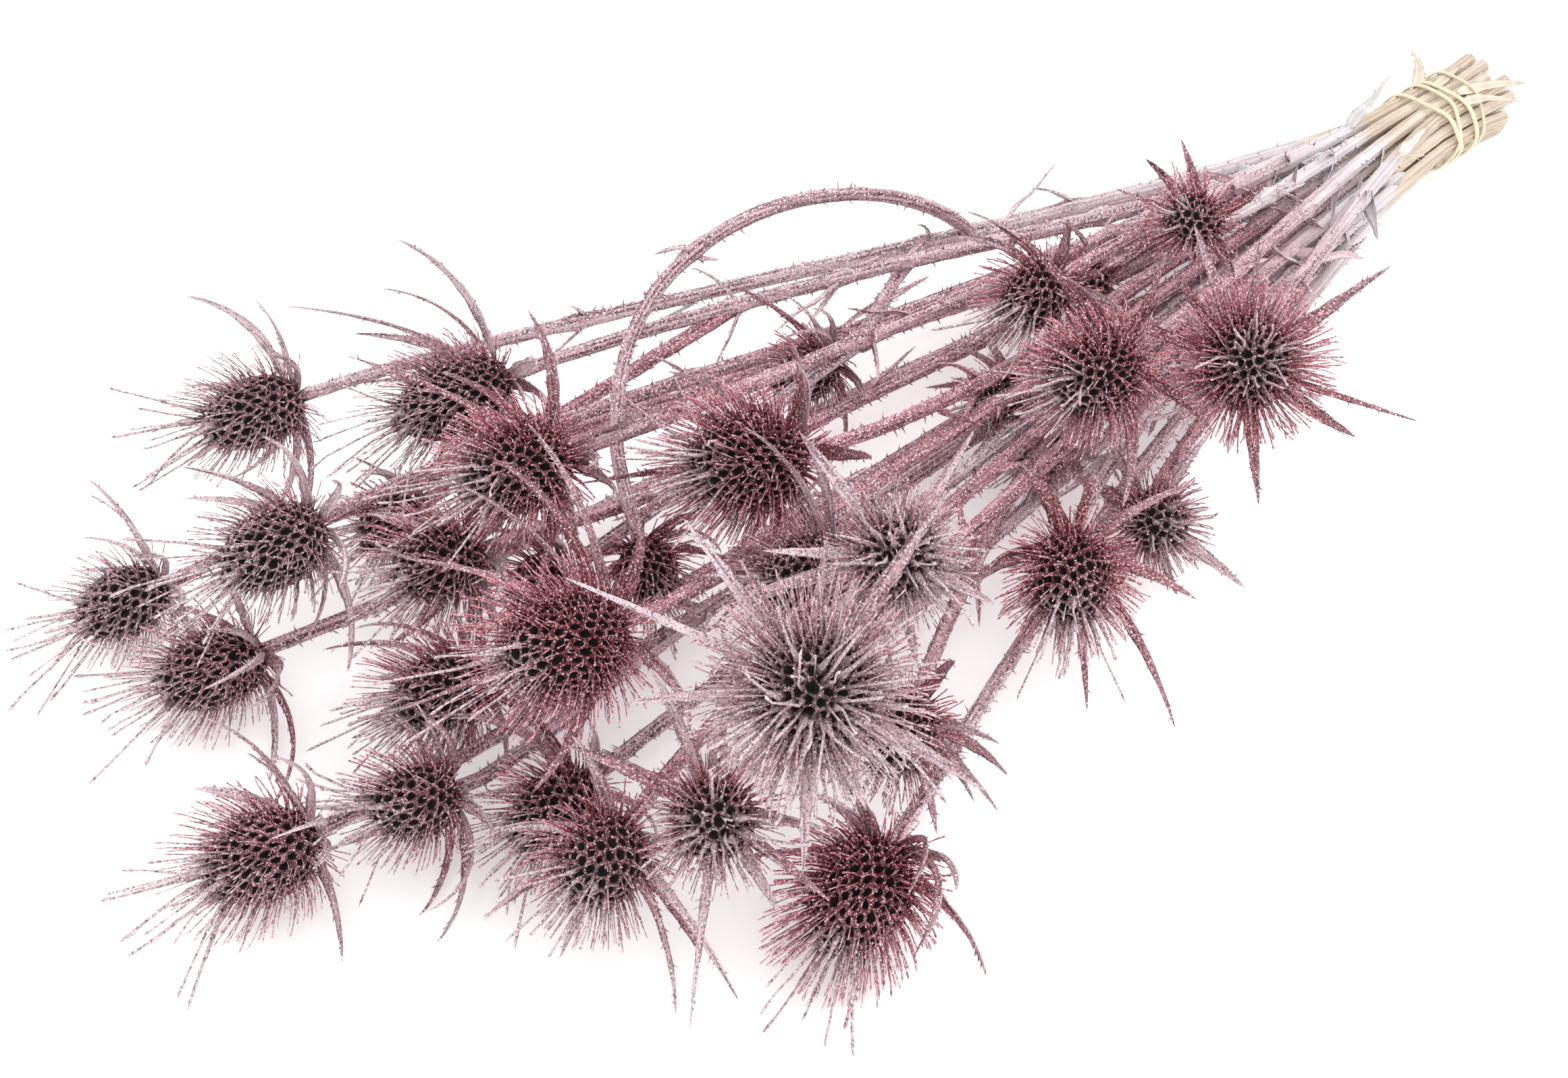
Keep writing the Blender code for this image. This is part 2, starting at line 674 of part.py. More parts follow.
def make_band(name, x, lean, parent, finish):
    """One winding of the tie: a flat strand round the bundle, with a flat run under it."""
    low, high = LOWEST_STALK, LOWEST_STALK + (len(STALK_ROWS) - 1) * ROW_HEIGHT
    wide = (STALK_ROWS[0] - 1) / 2 * STALK_PITCH
    widest = (max(STALK_ROWS) - 1) / 2 * STALK_PITCH
    middle = (low + high) / 2
    corners = ((wide, low, -90, -30), (widest, middle, -30, 30), (wide, high, 30, 90))
    corners += ((-wide, high, 90, 150), (-widest, middle, 150, 210), (-wide, low, 210, 270))
    inner = STALK_RADIUS + GAP
    bm = bmesh.new()
    rings = []
    for y, z, start, stop in corners:
        for angle in np.radians(np.linspace(start, stop, 4)):
            out = np.array((0, math.cos(angle), math.sin(angle)))
            place = np.array((x - lean * math.cos(angle - math.pi / 4), y, z))
            across = np.array((BAND_WIDTH / 2, 0, 0))
            ring = [
                place + out * inner - across,
                place + out * inner + across,
                place + out * (inner + BAND_THICKNESS) + across,
                place + out * (inner + BAND_THICKNESS) - across,
            ]
            rings.append([bm.verts.new(point * MM) for point in ring])
    for near, far in zip(rings, rings[1:] + rings[:1]):
        for k in range(4):
            bm.faces.new((near[k], near[(k + 1) % 4], far[(k + 1) % 4], far[k]))
    return new_object(name, bm, finish, parent)


def centre_on_base(parent):
    """Moves the bunch so that its box stands centred on the origin."""
    corners = []
    for obj in bpy.data.objects:
        if obj.type == "MESH":
            corners += [v.co for v in obj.data.vertices]
    low = Vector([min(c[k] for c in corners) for k in range(3)])
    high = Vector([max(c[k] for c in corners) for k in range(3)])
    parent.location = (-(low.x + high.x) / 2, -(low.y + high.y) / 2, -low.z)


def build():
    for obj in list(bpy.data.objects):
        bpy.data.objects.remove(obj)
    parent = bpy.data.objects.new("bunch", None)
    bpy.context.scene.collection.objects.link(parent)
    bristly = material("frosted_head", (0.19, 0.075, 0.085), 0.75)
    woody = material("frosted_stalk", (0.50, 0.30, 0.31), 0.8)
    straw = material("straw_tie", (0.62, 0.47, 0.29), 0.7)

    stems, bases = stem_lines()
    tubes = []
    for i, stem in enumerate(stems):
        tubes.append((stem, stem_radius(i, np.linspace(0, 1, len(stem)))))
    for number in range(1, STALKS + 1):
        make_stalk(number, stems, tubes, parent, woody)

    centres = [base + heading(head) * head.length / 2 for head, base in zip(HEADS, bases)]
    obstacles = Obstacles()
    for i, (stem, radii) in enumerate(tubes):
        obstacles.add(stem[:-4], radii[:-4] + PRICKLE / 2, 100 + i)
    for number, (head, centre) in enumerate(zip(HEADS, centres), 1):
        obstacles.add(*core_balls(head, centre), number)
    for number, centre in enumerate(centres, 1):
        make_head(number, centre, obstacles, parent, bristly)

    make_band("tie_front", -9.5, 3.5, parent, straw)
    make_band("tie_middle", 0.0, 0.5, parent, straw)
    make_band("tie_back", 9.0, -2.5, parent, straw)
    centre_on_base(parent)


build()
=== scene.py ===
"""The looks of a tied bunch of dried, frosted teasel heads, lying on its side.

The layout repeats the solids' own, in millimetres, so that each finer piece lies where its solid does.
MM turns it into metres, and SHIFT moves it from the tie to the bunch's own origin.
"""

import math
import random
from collections import namedtuple

import bmesh
import bpy
import numpy as np
from mathutils import Matrix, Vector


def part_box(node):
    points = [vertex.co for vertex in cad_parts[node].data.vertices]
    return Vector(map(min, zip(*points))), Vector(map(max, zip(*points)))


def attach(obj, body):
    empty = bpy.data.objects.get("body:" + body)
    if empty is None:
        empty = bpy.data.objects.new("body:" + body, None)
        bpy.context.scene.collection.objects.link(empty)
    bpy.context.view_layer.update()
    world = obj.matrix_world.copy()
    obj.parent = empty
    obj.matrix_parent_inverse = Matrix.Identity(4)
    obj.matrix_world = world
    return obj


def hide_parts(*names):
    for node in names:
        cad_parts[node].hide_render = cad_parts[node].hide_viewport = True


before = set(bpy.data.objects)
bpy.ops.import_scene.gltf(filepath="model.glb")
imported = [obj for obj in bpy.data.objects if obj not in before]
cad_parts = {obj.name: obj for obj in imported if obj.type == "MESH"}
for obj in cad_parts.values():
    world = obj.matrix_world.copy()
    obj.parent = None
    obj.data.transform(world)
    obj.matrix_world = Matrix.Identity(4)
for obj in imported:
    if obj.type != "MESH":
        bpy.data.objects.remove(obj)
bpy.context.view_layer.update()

MM = 0.001
SEED = 7
GOLDEN = math.pi * (3 - math.sqrt(5))

# The tie and the stalks where they pass through it
STALK_ROWS = (4, 5, 6, 5, 4)
STALK_PITCH = 6.3
STALK_RADIUS = 2.9
TIE_HALF = 16.0
BAND_THICKNESS = 1.4
STUB_SHORTEST = 24.0
STUB_LONGEST = 36.0
STUB_SPLAY = 1.12

# The stalks and side branches further out
NECK_RADIUS = 2.0
BRANCH_RADIUS = 2.3
NODE_SWELL = 1.3
NODE_LENGTH = 3.5
NODE_SPANS = ((0.3, 0.45), (0.6, 0.78))
BRANCH_NODE = 0.55
PRICKLE = 3.0
STEM_POINTS = 160

# The heads. One with a core wider than BIG_CORE has a bract and a crown spine more. A bract takes
# another of its turns only where it is clear for BETTER more of its length.
BIG_CORE = 11
SPINES_PER_SIZE = 0.068
SPINE_ROOT = 1.7
SPINE_POLARS = (math.radians(52), math.radians(165))
TIP_GAIN = 0.4
CROWN_ROOT = 1.8
CROWN_SPINE_POLAR = math.radians(158)
BRACT_WIDTH = 5.0
BRACT_POLAR = math.radians(30)
BRACT_STEPS = 26
BRACT_TURNS = 7
SHORTEST_BRACT = 8
BETTER = 0.02

# Clearances
GAP = 0.3
SPINE_CLEAR = 0.5
STALK_CLEAR = 2.4

# Owners of what must stay clear: a head has its own number, and stems and bracts count from these
STEM_OWNERS = 100
BRACT_OWNERS = 200

# How the layout settles: planes across the bunch, how far from its root each stem starts to give,
# how strongly stems, heads and the floor push, and the most that anything moves in a round.
# A head counts as two balls, at shares of its length from its middle.
PLANE_STEP = 10.0
FURTHEST = -640
STALK_LOOSENS = 90.0
BRANCH_LOOSENS = 50.0
SETTLE_ROUNDS = 160
STEM_PUSH = 0.35
HEAD_NUDGE = 0.05
HEAD_PUSH = 0.15
FLOOR_PUSH = 0.5
MOST_MOVE = 2
RETURN = 0.995
BALL_ENDS = (-0.22, 0.22)

# A head's centre, its turn to the side and its lift in degrees, its core's length and radius, and
# the length of its bristles. One on a side branch also has the number of the stalk that it grows
# from, the x where it leaves, how steeply it rises there in degrees, and how far it bows.
Head = namedtuple(
    "Head",
    "x y z turn lift length radius bristle stalk leaves rise bow",
    defaults=(None, 0, 0, 1.0),
)

HEADS = (
    Head(-520, 120, 55, -3, 5, 39, 12.5, 12),
    Head(-465, 75, 60, -3, 3, 46, 14.0, 12),
    Head(-490, 0, 90, 10, 20, 40, 14.5, 12),
    Head(-555, 50, 60, 6, 3, 39, 13.5, 12),
    Head(-590, 100, 21, 0, 3, 34, 11.5, 11),
    Head(-585, 50, 23, -5, 5, 38, 13.0, 12),
    Head(-515, 10, 55, 0, 12, 32, 12.5, 12),
    Head(-525, -70, 85, 8, 20, 44, 16.0, 14),
    Head(-540, -20, 35, 0, 14, 33, 12.5, 12),
    Head(-610, -35, 24, -3, 5, 38, 14.0, 12),
    Head(-545, -115, 42, 33, 15, 33, 13.0, 12),
    Head(-525, -135, 60, 49, 40, 34, 12.0, 12),
    Head(-490, -165, 26, 22, 0, 42, 15.0, 13),
    Head(-505, -160, 120, 49, 42, 46, 16.5, 19),
    Head(-435, -75, 65, 10, 15, 34, 13.0, 12),
    Head(-430, -115, 95, 49, 42, 34, 12.5, 12),
    Head(-430, -45, 85, 0, 20, 44, 16.0, 13),
    Head(-275, -25, 60, 10, 0, 27, 11.5, 12),
    Head(-305, -80, 80, 12, 15, 38, 14.0, 13),
    Head(-300, -45, 17, 5, 5, 22, 8.5, 9),
    Head(-260, -110, 80, 40, 40, 40, 15.5, 16),
    Head(-205, -35, 75, 15, 35, 26, 10.0, 10),
    Head(-360, -125, 50, 41, 5, 36, 13.5, 12),
    Head(-300, -110, 30, 50, 30, 28, 11.0, 10),
    Head(-500, 70, 25, 5, 0, 26, 10.0, 10, 2, -350, 0),
    Head(-485, 5, 35, 5, 0, 26, 10.0, 10, 3, -330, 0),
    Head(-575, -45, 26, 0, 18, 30, 11.5, 11, 10, -440, 10),
    Head(-540, -70, 23, 15, 10, 36, 12.0, 12, 11, -370, 0),
    Head(-445, -135, 40, 35, 20, 30, 12.0, 11, 16, -280, 0),
    Head(-454, -18, 33, 66, -12, 26, 10.0, 10, 1, -226, 93, 2.65),
    Head(-345, 20, 40, 0, -5, 28, 10.0, 10, 1, -250, 0),
    Head(-225, 0, 35, 5, 5, 22, 9.0, 9, 18, -140, 0),
    Head(-295, -30, 35, 5, 5, 24, 9.0, 9, 20, -180, 0),
)
STALKS = sum(STALK_ROWS)
ROW_HEIGHT = STALK_PITCH * math.sin(math.radians(60))
LOWEST_STALK = BAND_THICKNESS + GAP + STALK_RADIUS

# The net of pits. Near its base the core is bare of bristles, with dents for pits.
PIT_PITCH = 3.1
PIT_DEPTH = 2.6
PIT_INSET = (0.2, 0.44)
# Painted shade in the pits: the lips darken towards the near-black floor, and are painted darker
PIT_PAINTED_DARK = 0.88
LIP_DEPTH = 0.35
LIP_PAINTED_SHADE = 0.7
RIM_HEIGHT = 0.3
BARE_POLAR = math.radians(26)
BARE_DEPTH = 0.2
BARE_INSET = 0.4

# The bristles, which end below HIGHEST as the thin bracts do. Crown hairs grow past CROWN_POLAR, and
# on the SPARSE heads more bristles are broken. They are tested against a BATCH of balls at a time.
HIGHEST = 174.0
SPARSE = (1, 2, 4, 5, 6, 8, 10, 11, 12, 15)
SPARSE_BROKEN = 0.45
BROKEN = 0.2
SPARSE_WIDTH = 0.85
FINE_SHARE = 0.5
FINE_GAIN = 0.92
CROWN_POLAR = math.radians(142)
CROWN_CHANCE = 0.4
CROWN_WIDTH = 1.5
BRISTLE_STEPS = 12
BRISTLE_CLEAR = 0.35
SHORTEST_BRISTLE = 1.5
BATCH = 400

# Bristle forms: the share of the length, then half the width and half the thickness there
STOUT = (
    (0, 1.2, 0.5), (0.12, 0.66, 0.38), (0.35, 0.31, 0.28),
    (0.78, 0.23, 0.23), (0.95, 0.36, 0.36), (1, 0, 0),
)
FINE = ((0, 0.5, 0.36), (0.3, 0.24, 0.23), (0.92, 0.29, 0.29), (1, 0, 0))

# The bracts and leaves. OWN_POINTS of a bract's path lie in its own head.
# A blade's corners are shares of its half width across, and of its curl and thickness over.
MORE_BRACTS = (3, 4, 5)
MORE_TURNS = 8
SHORTEST_MORE = 12
OWN_POINTS = 4
BLADE_RING = 2.2
BLADE_THICKNESS = 0.5
BLADE_CORNERS = (
    (1, 1, 0), (0.5, 0.2, 0.5), (0, 0, 0.35), (-0.5, 0.2, 0.5),
    (-1, 1, 0), (-0.5, 0.2, -0.5), (0, 0, -1.5), (0.5, 0.2, -0.5),
)
# Painted light and shade at the blade's corners: lighter edges, a darker channel and a darker underside
BLADE_PAINTED_LIGHT = (1.18, 1, 0.85, 1, 1.18, 0.9, 0.8, 0.9)
TOOTH_CHANCE = 0.5
TOOTH_LENGTH = (1.0, 2.8)
TOOTH_HALF = 0.4
THORN_SUNK = 0.3
LEAF_STEPS = 11

# The stalks. The remnants are how many leaf remnants, how far from the tie, how long, how wide and
# how far they lean along the stalk. Fibres are FIBRE times as long as they are wide.
REMNANTS = (
    ((1, 2, 3), (56, 160), (12, 32), (5, 9), (0.5, 2.5)),
    ((2, 3, 4), (150, 400), (16, 46), (1.8, 4.0), (1.2, 5.0)),
)
STEM_RING = 4.0
STEM_SIDES = 16
STEM_GAIN = 0.16
RIB = 1.07
GROOVE = 0.78
LUMPS = 0.035
FIBRE = 20.0
THORN_CHANCE = 0.8
THORN_LENGTH = (1.4, 3.3)
THORN_HALF = 0.5
THORN_SHADE = 0.78
HUSK_ROW = 3.5
STRAW_END = 52.0
STRAW_BLEND = 16
CHALK_END = 130.0
CHALK_EARLY = 40
CHALK_BLEND = 90

# The tie: each strand's x, how far it leans and slants, and its width
STRANDS = {
    "tie_front": ((-11.0, 4.5, -1.5, 2.2), (-8.5, -2.5, 2.5, 2.0)),
    "tie_middle": ((1.0, 3.0, 1.0, 2.4),),
    "tie_back": ((9.0, -3.5, 0, 1.6),),
}
STRAND_THICKNESS = 1.2
STRAND_STEP = 1.5
STRAND_PASSES = 18
STRAND_OUT = 1.1
STRAND_CORNERS = 8

# How white the frost on each head is, from rose at 0 to chalk at 1
FROST = (
    0.75, 0.6, 0.08, 0.75, 0.95, 0.5, 0.36, -0.1, 0.42, 0.45, 0.35, 0.45, 0.04, 0.78, 0.5, 0.75, 0.05,
    0.25, 0.06, 0.3, 0.02, 0.15, 0.12, 0.4, 0.45, 0.25, 0.5, 0.4, 0.3, 0.2, 0.4, 0.25, 0.4,
)
SPRAY_SIDE = np.array((-0.3, -0.7, -0.6))

# Tones
NET_ROSE = (0.22, 0.038, 0.05)
NET_GREY = (0.30, 0.215, 0.225)
# Painted shade: the pits' near-black floor stands in for the shade in the hollows
PIT_PAINTED_SHADE = (0.004, 0.0012, 0.002)
ROOT_ROSE = (0.18, 0.028, 0.042)
ROOT_GREY = (0.24, 0.16, 0.17)
BRISTLE_ROSE = (0.44, 0.072, 0.105)
BRISTLE_GREY = (0.60, 0.475, 0.50)
TIP_ROSE = (0.86, 0.33, 0.40)
TIP_WHITE = (0.90, 0.81, 0.84)
BRACT_ROSE = (0.28, 0.07, 0.085)
BRACT_PALE = (0.80, 0.68, 0.72)
STEM_ROSE = (0.73, 0.38, 0.44)
STEM_PALE = (0.88, 0.78, 0.82)
STEM_CHALK = (0.91, 0.88, 0.905)
# Painted shade in the grooves of the rose and of the chalky stems
STEM_GROOVE_PAINTED_SHADE = (0.15, 0.055, 0.07)
CHALK_GROOVE_PAINTED_SHADE = (0.55, 0.45, 0.48)
STRAW = (0.81, 0.715, 0.59)
# Painted shade in the grooves of the straw-coloured stems
STRAW_GROOVE_PAINTED_SHADE = (0.50, 0.35, 0.26)
CUT_WOOD = (0.86, 0.78, 0.66)
PITH = (0.80, 0.71, 0.58)
CANE = (0.80, 0.74, 0.56)
CANE_SHADE = (0.62, 0.52, 0.36)
PINK_GLITTER = (0.94, 0.52, 0.58)
# Painted glints: the bright specks that stand in for the glitter catching the light
PAINTED_GLINT = (1.0, 0.88, 0.91)
DARK_GRIME = (0.2, 0.1, 0.12)
PAPER = (0.93, 0.93, 0.93, 1)
PAPER_ROUGHNESS = 0.9
PAPER_GLOW = 0.28
WHITE = (1, 1, 1, 1)

# The finishes: the flecks' tone and the noise where they start, the roughness, the height of the
# bumps, the fineness of the grain, and how much of each cell is a painted glint, a bright speck
# for the glitter catching the light
FINISHES = (
    ("frosted_net", PINK_GLITTER, 0.57, 0.8, 0.5, 1300, 0.22),
    # The pits' finish, painted near black as shade in the hollows
    ("painted_shade_pit", PIT_PAINTED_SHADE, 0.5, 0.95, 0.2, 1700, 0.0),
    ("frosted_bristle", PINK_GLITTER, 0.57, 0.7, 0.4, 1300, 0.3),
    ("frosted_bract", PINK_GLITTER, 0.58, 0.8, 0.5, 1400, 0.28),
    ("frosted_stem", PINK_GLITTER, 0.565, 0.8, 0.9, 1300, 0.3),
    ("dry_straw", CANE, 0.6, 0.6, 0.3, 700, 0.0),
)

# The places of the finishes on a head, and on a stalk
NET, PIT, BRISTLE, BRACT = range(4)
STEM, DRY = range(2)

# The grime, in streaks and in spots: the noise where it starts and is full, and its strength
STREAKS = (0.5, 0.62, 0.7)
SPOTS = (0.45, 0.38, 0.75)
STREAK_GRAIN = 0.6
# The size of the cells of painted glints
GLINT_GRAIN = 0.55
EDGE = 0.06
MOST_FLECKS = 0.9
BUMP_DEPTH = 0.0004

# The camera, and where the photograph shows the tie
CAMERA_DOWN = 42.0
CAMERA_TURN = 41.0
CAMERA_LENS = 58.14
CAMERA_SENSOR = 36.0
PHOTO_WIDTH = 2322
PHOTO_HEIGHT = 1596
TIE_PX = (2130, 165)
TIE_PLACE = (0, 0, 0.02)
TIE_DEPTH = 1.10
FLOOR_HALF = 6.0
LIGHTS = (
    ("key", (-0.9, -1.2, 1.9), 19.0, 1.6),
    ("fill", (1.4, -0.6, 1.4), 9.0, 1.5),
    ("back", (0.2, 1.6, 1.3), 8.0, 1.4),
)


def unit(vectors):
    return vectors / np.linalg.norm(vectors, axis=-1, keepdims=True)


def mix(first, second, share):
    share = np.asarray(share)[..., None]
    return np.asarray(first) * (1 - share) + np.asarray(second) * share


def heading(head):
    """The unit vector from a head's base to its tip."""
    turn, lift = math.radians(head.turn), math.radians(head.lift)
    return np.array((-math.cos(lift) * math.cos(turn), -math.cos(lift) * math.sin(turn), math.sin(lift)))


def distance_along(curve):
    return np.concatenate(([0], np.cumsum(np.linalg.norm(np.diff(curve, axis=0), axis=1))))


def read_at(curve, along, at):
    """Points at some distances along a curve."""
    return np.stack([np.interp(at, along, curve[:, k]) for k in range(3)], axis=1)


# Layout: which stalk goes where, and the line of each stem


def tie_slots():
    """The (y, z) of each stalk in the tie, in rows that nest like stacked pipes."""
    return np.array(
        [
            ((k - (count - 1) / 2) * STALK_PITCH, LOWEST_STALK + row * ROW_HEIGHT)
            for row, count in enumerate(STALK_ROWS)
            for k in range(count)
        ]
    )


def share_slots(slots):
    """Gives each stalk the slot on its head's side, swapping pairs until no two stalks cross."""
    aims = np.array([(head.y / -head.x, head.z / -head.x) for head in HEADS[:STALKS]])
    rising = sorted(range(STALKS), key=lambda i: aims[i, 1])
    taken = [0] * STALKS
    first = 0
    for count in STALK_ROWS:
        row = sorted(rising[first : first + count], key=lambda i: aims[i, 0])
        for k, i in enumerate(row):
            taken[i] = first + k
        first += count
    swapped = True
    while swapped:
        swapped = False
        for i in range(STALKS):
            for j in range(i):
                a, b = slots[taken[i]], slots[taken[j]]
                if (aims[i] - aims[j]) @ (b - a) > 1e-9:
                    taken[i], taken[j] = taken[j], taken[i]
                    swapped = True
    return slots[taken]


def hermite(start, leaving, end, arriving, count=80):
    """Points on the cubic from start to end with those tangents."""
    t = np.linspace(0, 1, count)[:, None]
    return (
        (2 * t**3 - 3 * t**2 + 1) * start
        + (t**3 - 2 * t**2 + t) * leaving
        + (3 * t**2 - 2 * t**3) * end
        + (t**3 - t**2) * arriving
    )


def first_lines():
    """Each stem's line before it settles: its (y, z) on planes across the bunch, and its end planes."""
    planes = np.arange(-TIE_HALF, FURTHEST, -PLANE_STEP)
    lines = np.zeros((len(HEADS), len(planes), 2))
    spans = []
    slots = share_slots(tie_slots())
    for i, head in enumerate(HEADS):
        axis = heading(head)
        base = np.array((head.x, head.y, head.z)) - axis * head.length / 2
        if head.stalk is None:
            start = np.array((-TIE_HALF, *slots[i]))
        else:
            first = int(round((-TIE_HALF - head.leaves) / PLANE_STEP))
            start = np.array((planes[first], *lines[head.stalk - 1, first]))
        chord = base - start
        size = np.linalg.norm(chord)
        if head.stalk is None:
            leaving = 0.6 * chord + np.array((-0.4 * size, 0, 0))
            arriving = 0.55 * size * axis
        else:
            rise = math.radians(head.rise)
            leaving = 0.5 * chord + 0.5 * size * np.array((-math.cos(rise), 0, math.sin(rise)))
            leaving *= head.bow
            arriving = 0.7 * size * axis * head.bow
        curve = hermite(start, leaving, base, arriving)
        here = (planes <= start[0] + 1e-6) & (planes > base[0] + 4)
        for k in (0, 1):
            lines[i, here, k] = np.interp(-planes[here], -curve[:, 0], curve[:, k + 1])
        span = np.flatnonzero(here)
        spans.append((span[0], span[-1]))
    return planes, lines, spans


def stem_radius(index, share):
    """The radius of a stem at a share of its way from the tie, or from its fork, to its head."""
    root = STALK_RADIUS if HEADS[index].stalk is None else BRANCH_RADIUS
    return root + (NECK_RADIUS - root) * share


def parting(gap, need, where):
    """How each pair parts along its gap, where that is shorter than it needs to be."""
    far = np.sqrt((gap**2).sum(axis=-1)) + 1e-6
    over = np.where(where, np.maximum(need - far, 0), 0)
    return gap * (over / far)[..., None]


def settle():
    """Pushes stems and heads apart, a little at a time, for a set number of rounds."""
    planes, start, spans = first_lines()
    count, depth = start.shape[:2]
    index = np.arange(depth)
    valid = np.array([(index >= a) & (index <= b) for a, b in spans])
    share = np.array([np.clip((index - a) / (b - a), 0, 1) for a, b in spans])
    radius = np.array([stem_radius(i, share[i]) for i in range(count)])
    loose = np.array([STALK_LOOSENS if head.stalk is None else BRANCH_LOOSENS for head in HEADS])
    firsts = np.array([a for a, _ in spans])
    ease = np.clip((index[None, :] - firsts[:, None]) * PLANE_STEP / loose[:, None], 0, 1)
    slope = np.gradient(start, axis=1) / PLANE_STEP
    stretch = np.minimum(np.sqrt(1 + (slope**2).sum(axis=2)), 2.0)
    both = valid[:, None] & valid[None, :]
    need = radius[:, None] + radius[None, :] + GAP
    need = need + STALK_CLEAR * np.minimum(ease[:, None], ease[None, :])
    need = need * np.maximum(stretch[:, None], stretch[None, :])
    for i, head in enumerate(HEADS):
        both[i, i] = False
        for j, other in enumerate(HEADS):
            if head.stalk is not None and head.stalk in (j + 1, other.stalk):
                near = index < spans[i][0] + 5
                both[i, j, near] = False
                both[j, i, near] = False
    centres = np.array([(head.x, head.y, head.z) for head in HEADS], float)
    axes = np.array([heading(head) for head in HEADS])
    lengths = np.array([head.length for head in HEADS])
    reaches = np.array([head.radius + 0.5 * head.bristle for head in HEADS])
    lowest = np.array([head.radius + 0.85 * head.bristle for head in HEADS])
    apart = ~np.eye(count, dtype=bool)
    moved = np.zeros_like(start)
    shifted = np.zeros_like(centres)
    for _ in range(SETTLE_ROUNDS):
        line = start + moved
        nudge = np.zeros_like(shifted)
        push = STEM_PUSH * parting(line[:, None] - line[None, :], need, both).sum(axis=1)
        for end in BALL_ENDS:
            balls = centres + shifted + axes * (lengths * end)[:, None]
            depth_in = planes[None, :] - balls[:, 0, None]
            round_at = np.sqrt(np.maximum(reaches[:, None] ** 2 - depth_in**2, 0))
            keep = np.where(round_at > 0, round_at, -99)[None, :, :] + radius[:, None, :] + GAP
            here = apart[:, :, None] & valid[:, None, :]
            away = parting(line[:, None] - balls[None, :, None, 1:], keep, here)
            push += STEM_PUSH * away.sum(axis=1)
            nudge[:, 1:] -= HEAD_NUDGE * away.sum(axis=(0, 2))
            for other_end in BALL_ENDS:
                others = centres + shifted + axes * (lengths * other_end)[:, None]
                between = parting(balls[:, None] - others[None, :], reaches[:, None] + reaches, apart)
                nudge += HEAD_PUSH * between.sum(axis=1)
        nudge[:, 2] += FLOOR_PUSH * np.maximum(lowest - centres[:, 2] - shifted[:, 2], 0)
        push[..., 1] += np.where(valid, FLOOR_PUSH * np.maximum(radius - line[..., 1], 0), 0)
        shifted = RETURN * (shifted + np.clip(nudge, -MOST_MOVE, MOST_MOVE))
        moved = (moved + np.clip(push, -MOST_MOVE, MOST_MOVE)) * ease[..., None]
        for i, (a, b) in enumerate(spans):
            moved[i, b + 1 :] = shifted[i, 1:]
            if HEADS[i].stalk is not None:
                moved[i, : a + 1] = moved[HEADS[i].stalk - 1, a]
        for _ in range(2):
            moved[:, 1:-1] = 0.25 * moved[:, :-2] + 0.5 * moved[:, 1:-1] + 0.25 * moved[:, 2:]
    return planes, start + moved, spans, centres + shifted


def smooth(points, count):
    """A Catmull-Rom curve through the points, read at evenly spaced places along it."""
    ends = np.vstack((2 * points[0] - points[1], points, 2 * points[-1] - points[-2]))
    steps = np.linspace(0, 1, 6, endpoint=False)[:, None]
    pieces = []
    for k in range(1, len(ends) - 2):
        a, b, c, d = ends[k - 1 : k + 3]
        straight = 2 * b + (c - a) * steps
        bent = (2 * a - 5 * b + 4 * c - d) * steps**2 + (3 * b - a - 3 * c + d) * steps**3
        pieces.append(0.5 * (straight + bent))
    curve = np.vstack((*pieces, points[-1]))
    along = distance_along(curve)
    return read_at(curve, along, np.linspace(0, along[-1], count))


def stem_lines():
    """Each stem as closely spaced points from the tie or its fork to its head, and all the centres."""
    planes, lines, spans, settled = settle()
    stems = []
    centres = []
    for i, head in enumerate(HEADS):
        axis = heading(head)
        base = settled[i] - axis * head.length / 2
        first, last = spans[i]
        while planes[last] < base[0] + 9 and last > first + 2:
            last -= 1
        points = np.column_stack((planes[first : last + 1], lines[i, first : last + 1]))
        points = np.vstack((points[:-1:2], points[-1:], base - axis * GAP))
        stems.append(smooth(points, STEM_POINTS))
        centres.append(base + axis * head.length / 2)
    return stems, centres


# What must stay clear of what: points with a radius round them


class Obstacles:
    """Balls along everything placed so far, which a new bristle or bract stays clear of."""

    def __init__(self):
        self.points = np.zeros((0, 3))
        self.radii = np.zeros(0)
        self.owners = np.zeros(0, int)

    def add(self, points, radii, owner):
        self.points = np.vstack((self.points, points))
        self.radii = np.append(self.radii, np.broadcast_to(radii, len(points)))
        self.owners = np.append(self.owners, np.full(len(points), owner))

    def near(self, centre, distance, owner):
        """Those within a distance of a point that belong to others."""
        found = (np.linalg.norm(self.points - centre, axis=1) < distance) & (self.owners != owner)
        return self.points[found], self.radii[found]


def clear_share(path, radii, balls):
    """The share of a path, from its root, that stays above the floor and clear of the balls."""
    blocked = path[:, 2] - radii < 0
    points, sizes = balls
    if len(points):
        far = np.linalg.norm(path[:, None] - points[None], axis=2) - sizes[None]
        blocked |= far.min(axis=1) < radii + SPINE_CLEAR
    stops = np.flatnonzero(blocked)
    return 1.0 if not len(stops) else (stops[0] - 0.5) / (len(path) - 1)


def clear_shares(paths, balls):
    """The share of each bristle, from its root, that is above the floor, low enough and clear."""
    blocked = (paths[..., 2] - BRISTLE_CLEAR < 0) | (paths[..., 2] > HIGHEST)
    points, sizes = balls
    for start in range(0, len(points), BATCH):
        some, their = points[start : start + BATCH], sizes[start : start + BATCH]
        far = np.linalg.norm(paths[:, :, None] - some, axis=-1) - their
        blocked |= far.min(axis=-1) < BRISTLE_CLEAR
    stops = np.where(blocked.any(axis=1), blocked.argmax(axis=1), paths.shape[1])
    return np.clip((stops - 0.5) / (paths.shape[1] - 1), 0, 1)


# Growth: the solids' own draws for each head's bracts and spines


Bract = namedtuple("Bract", "path circle length share")


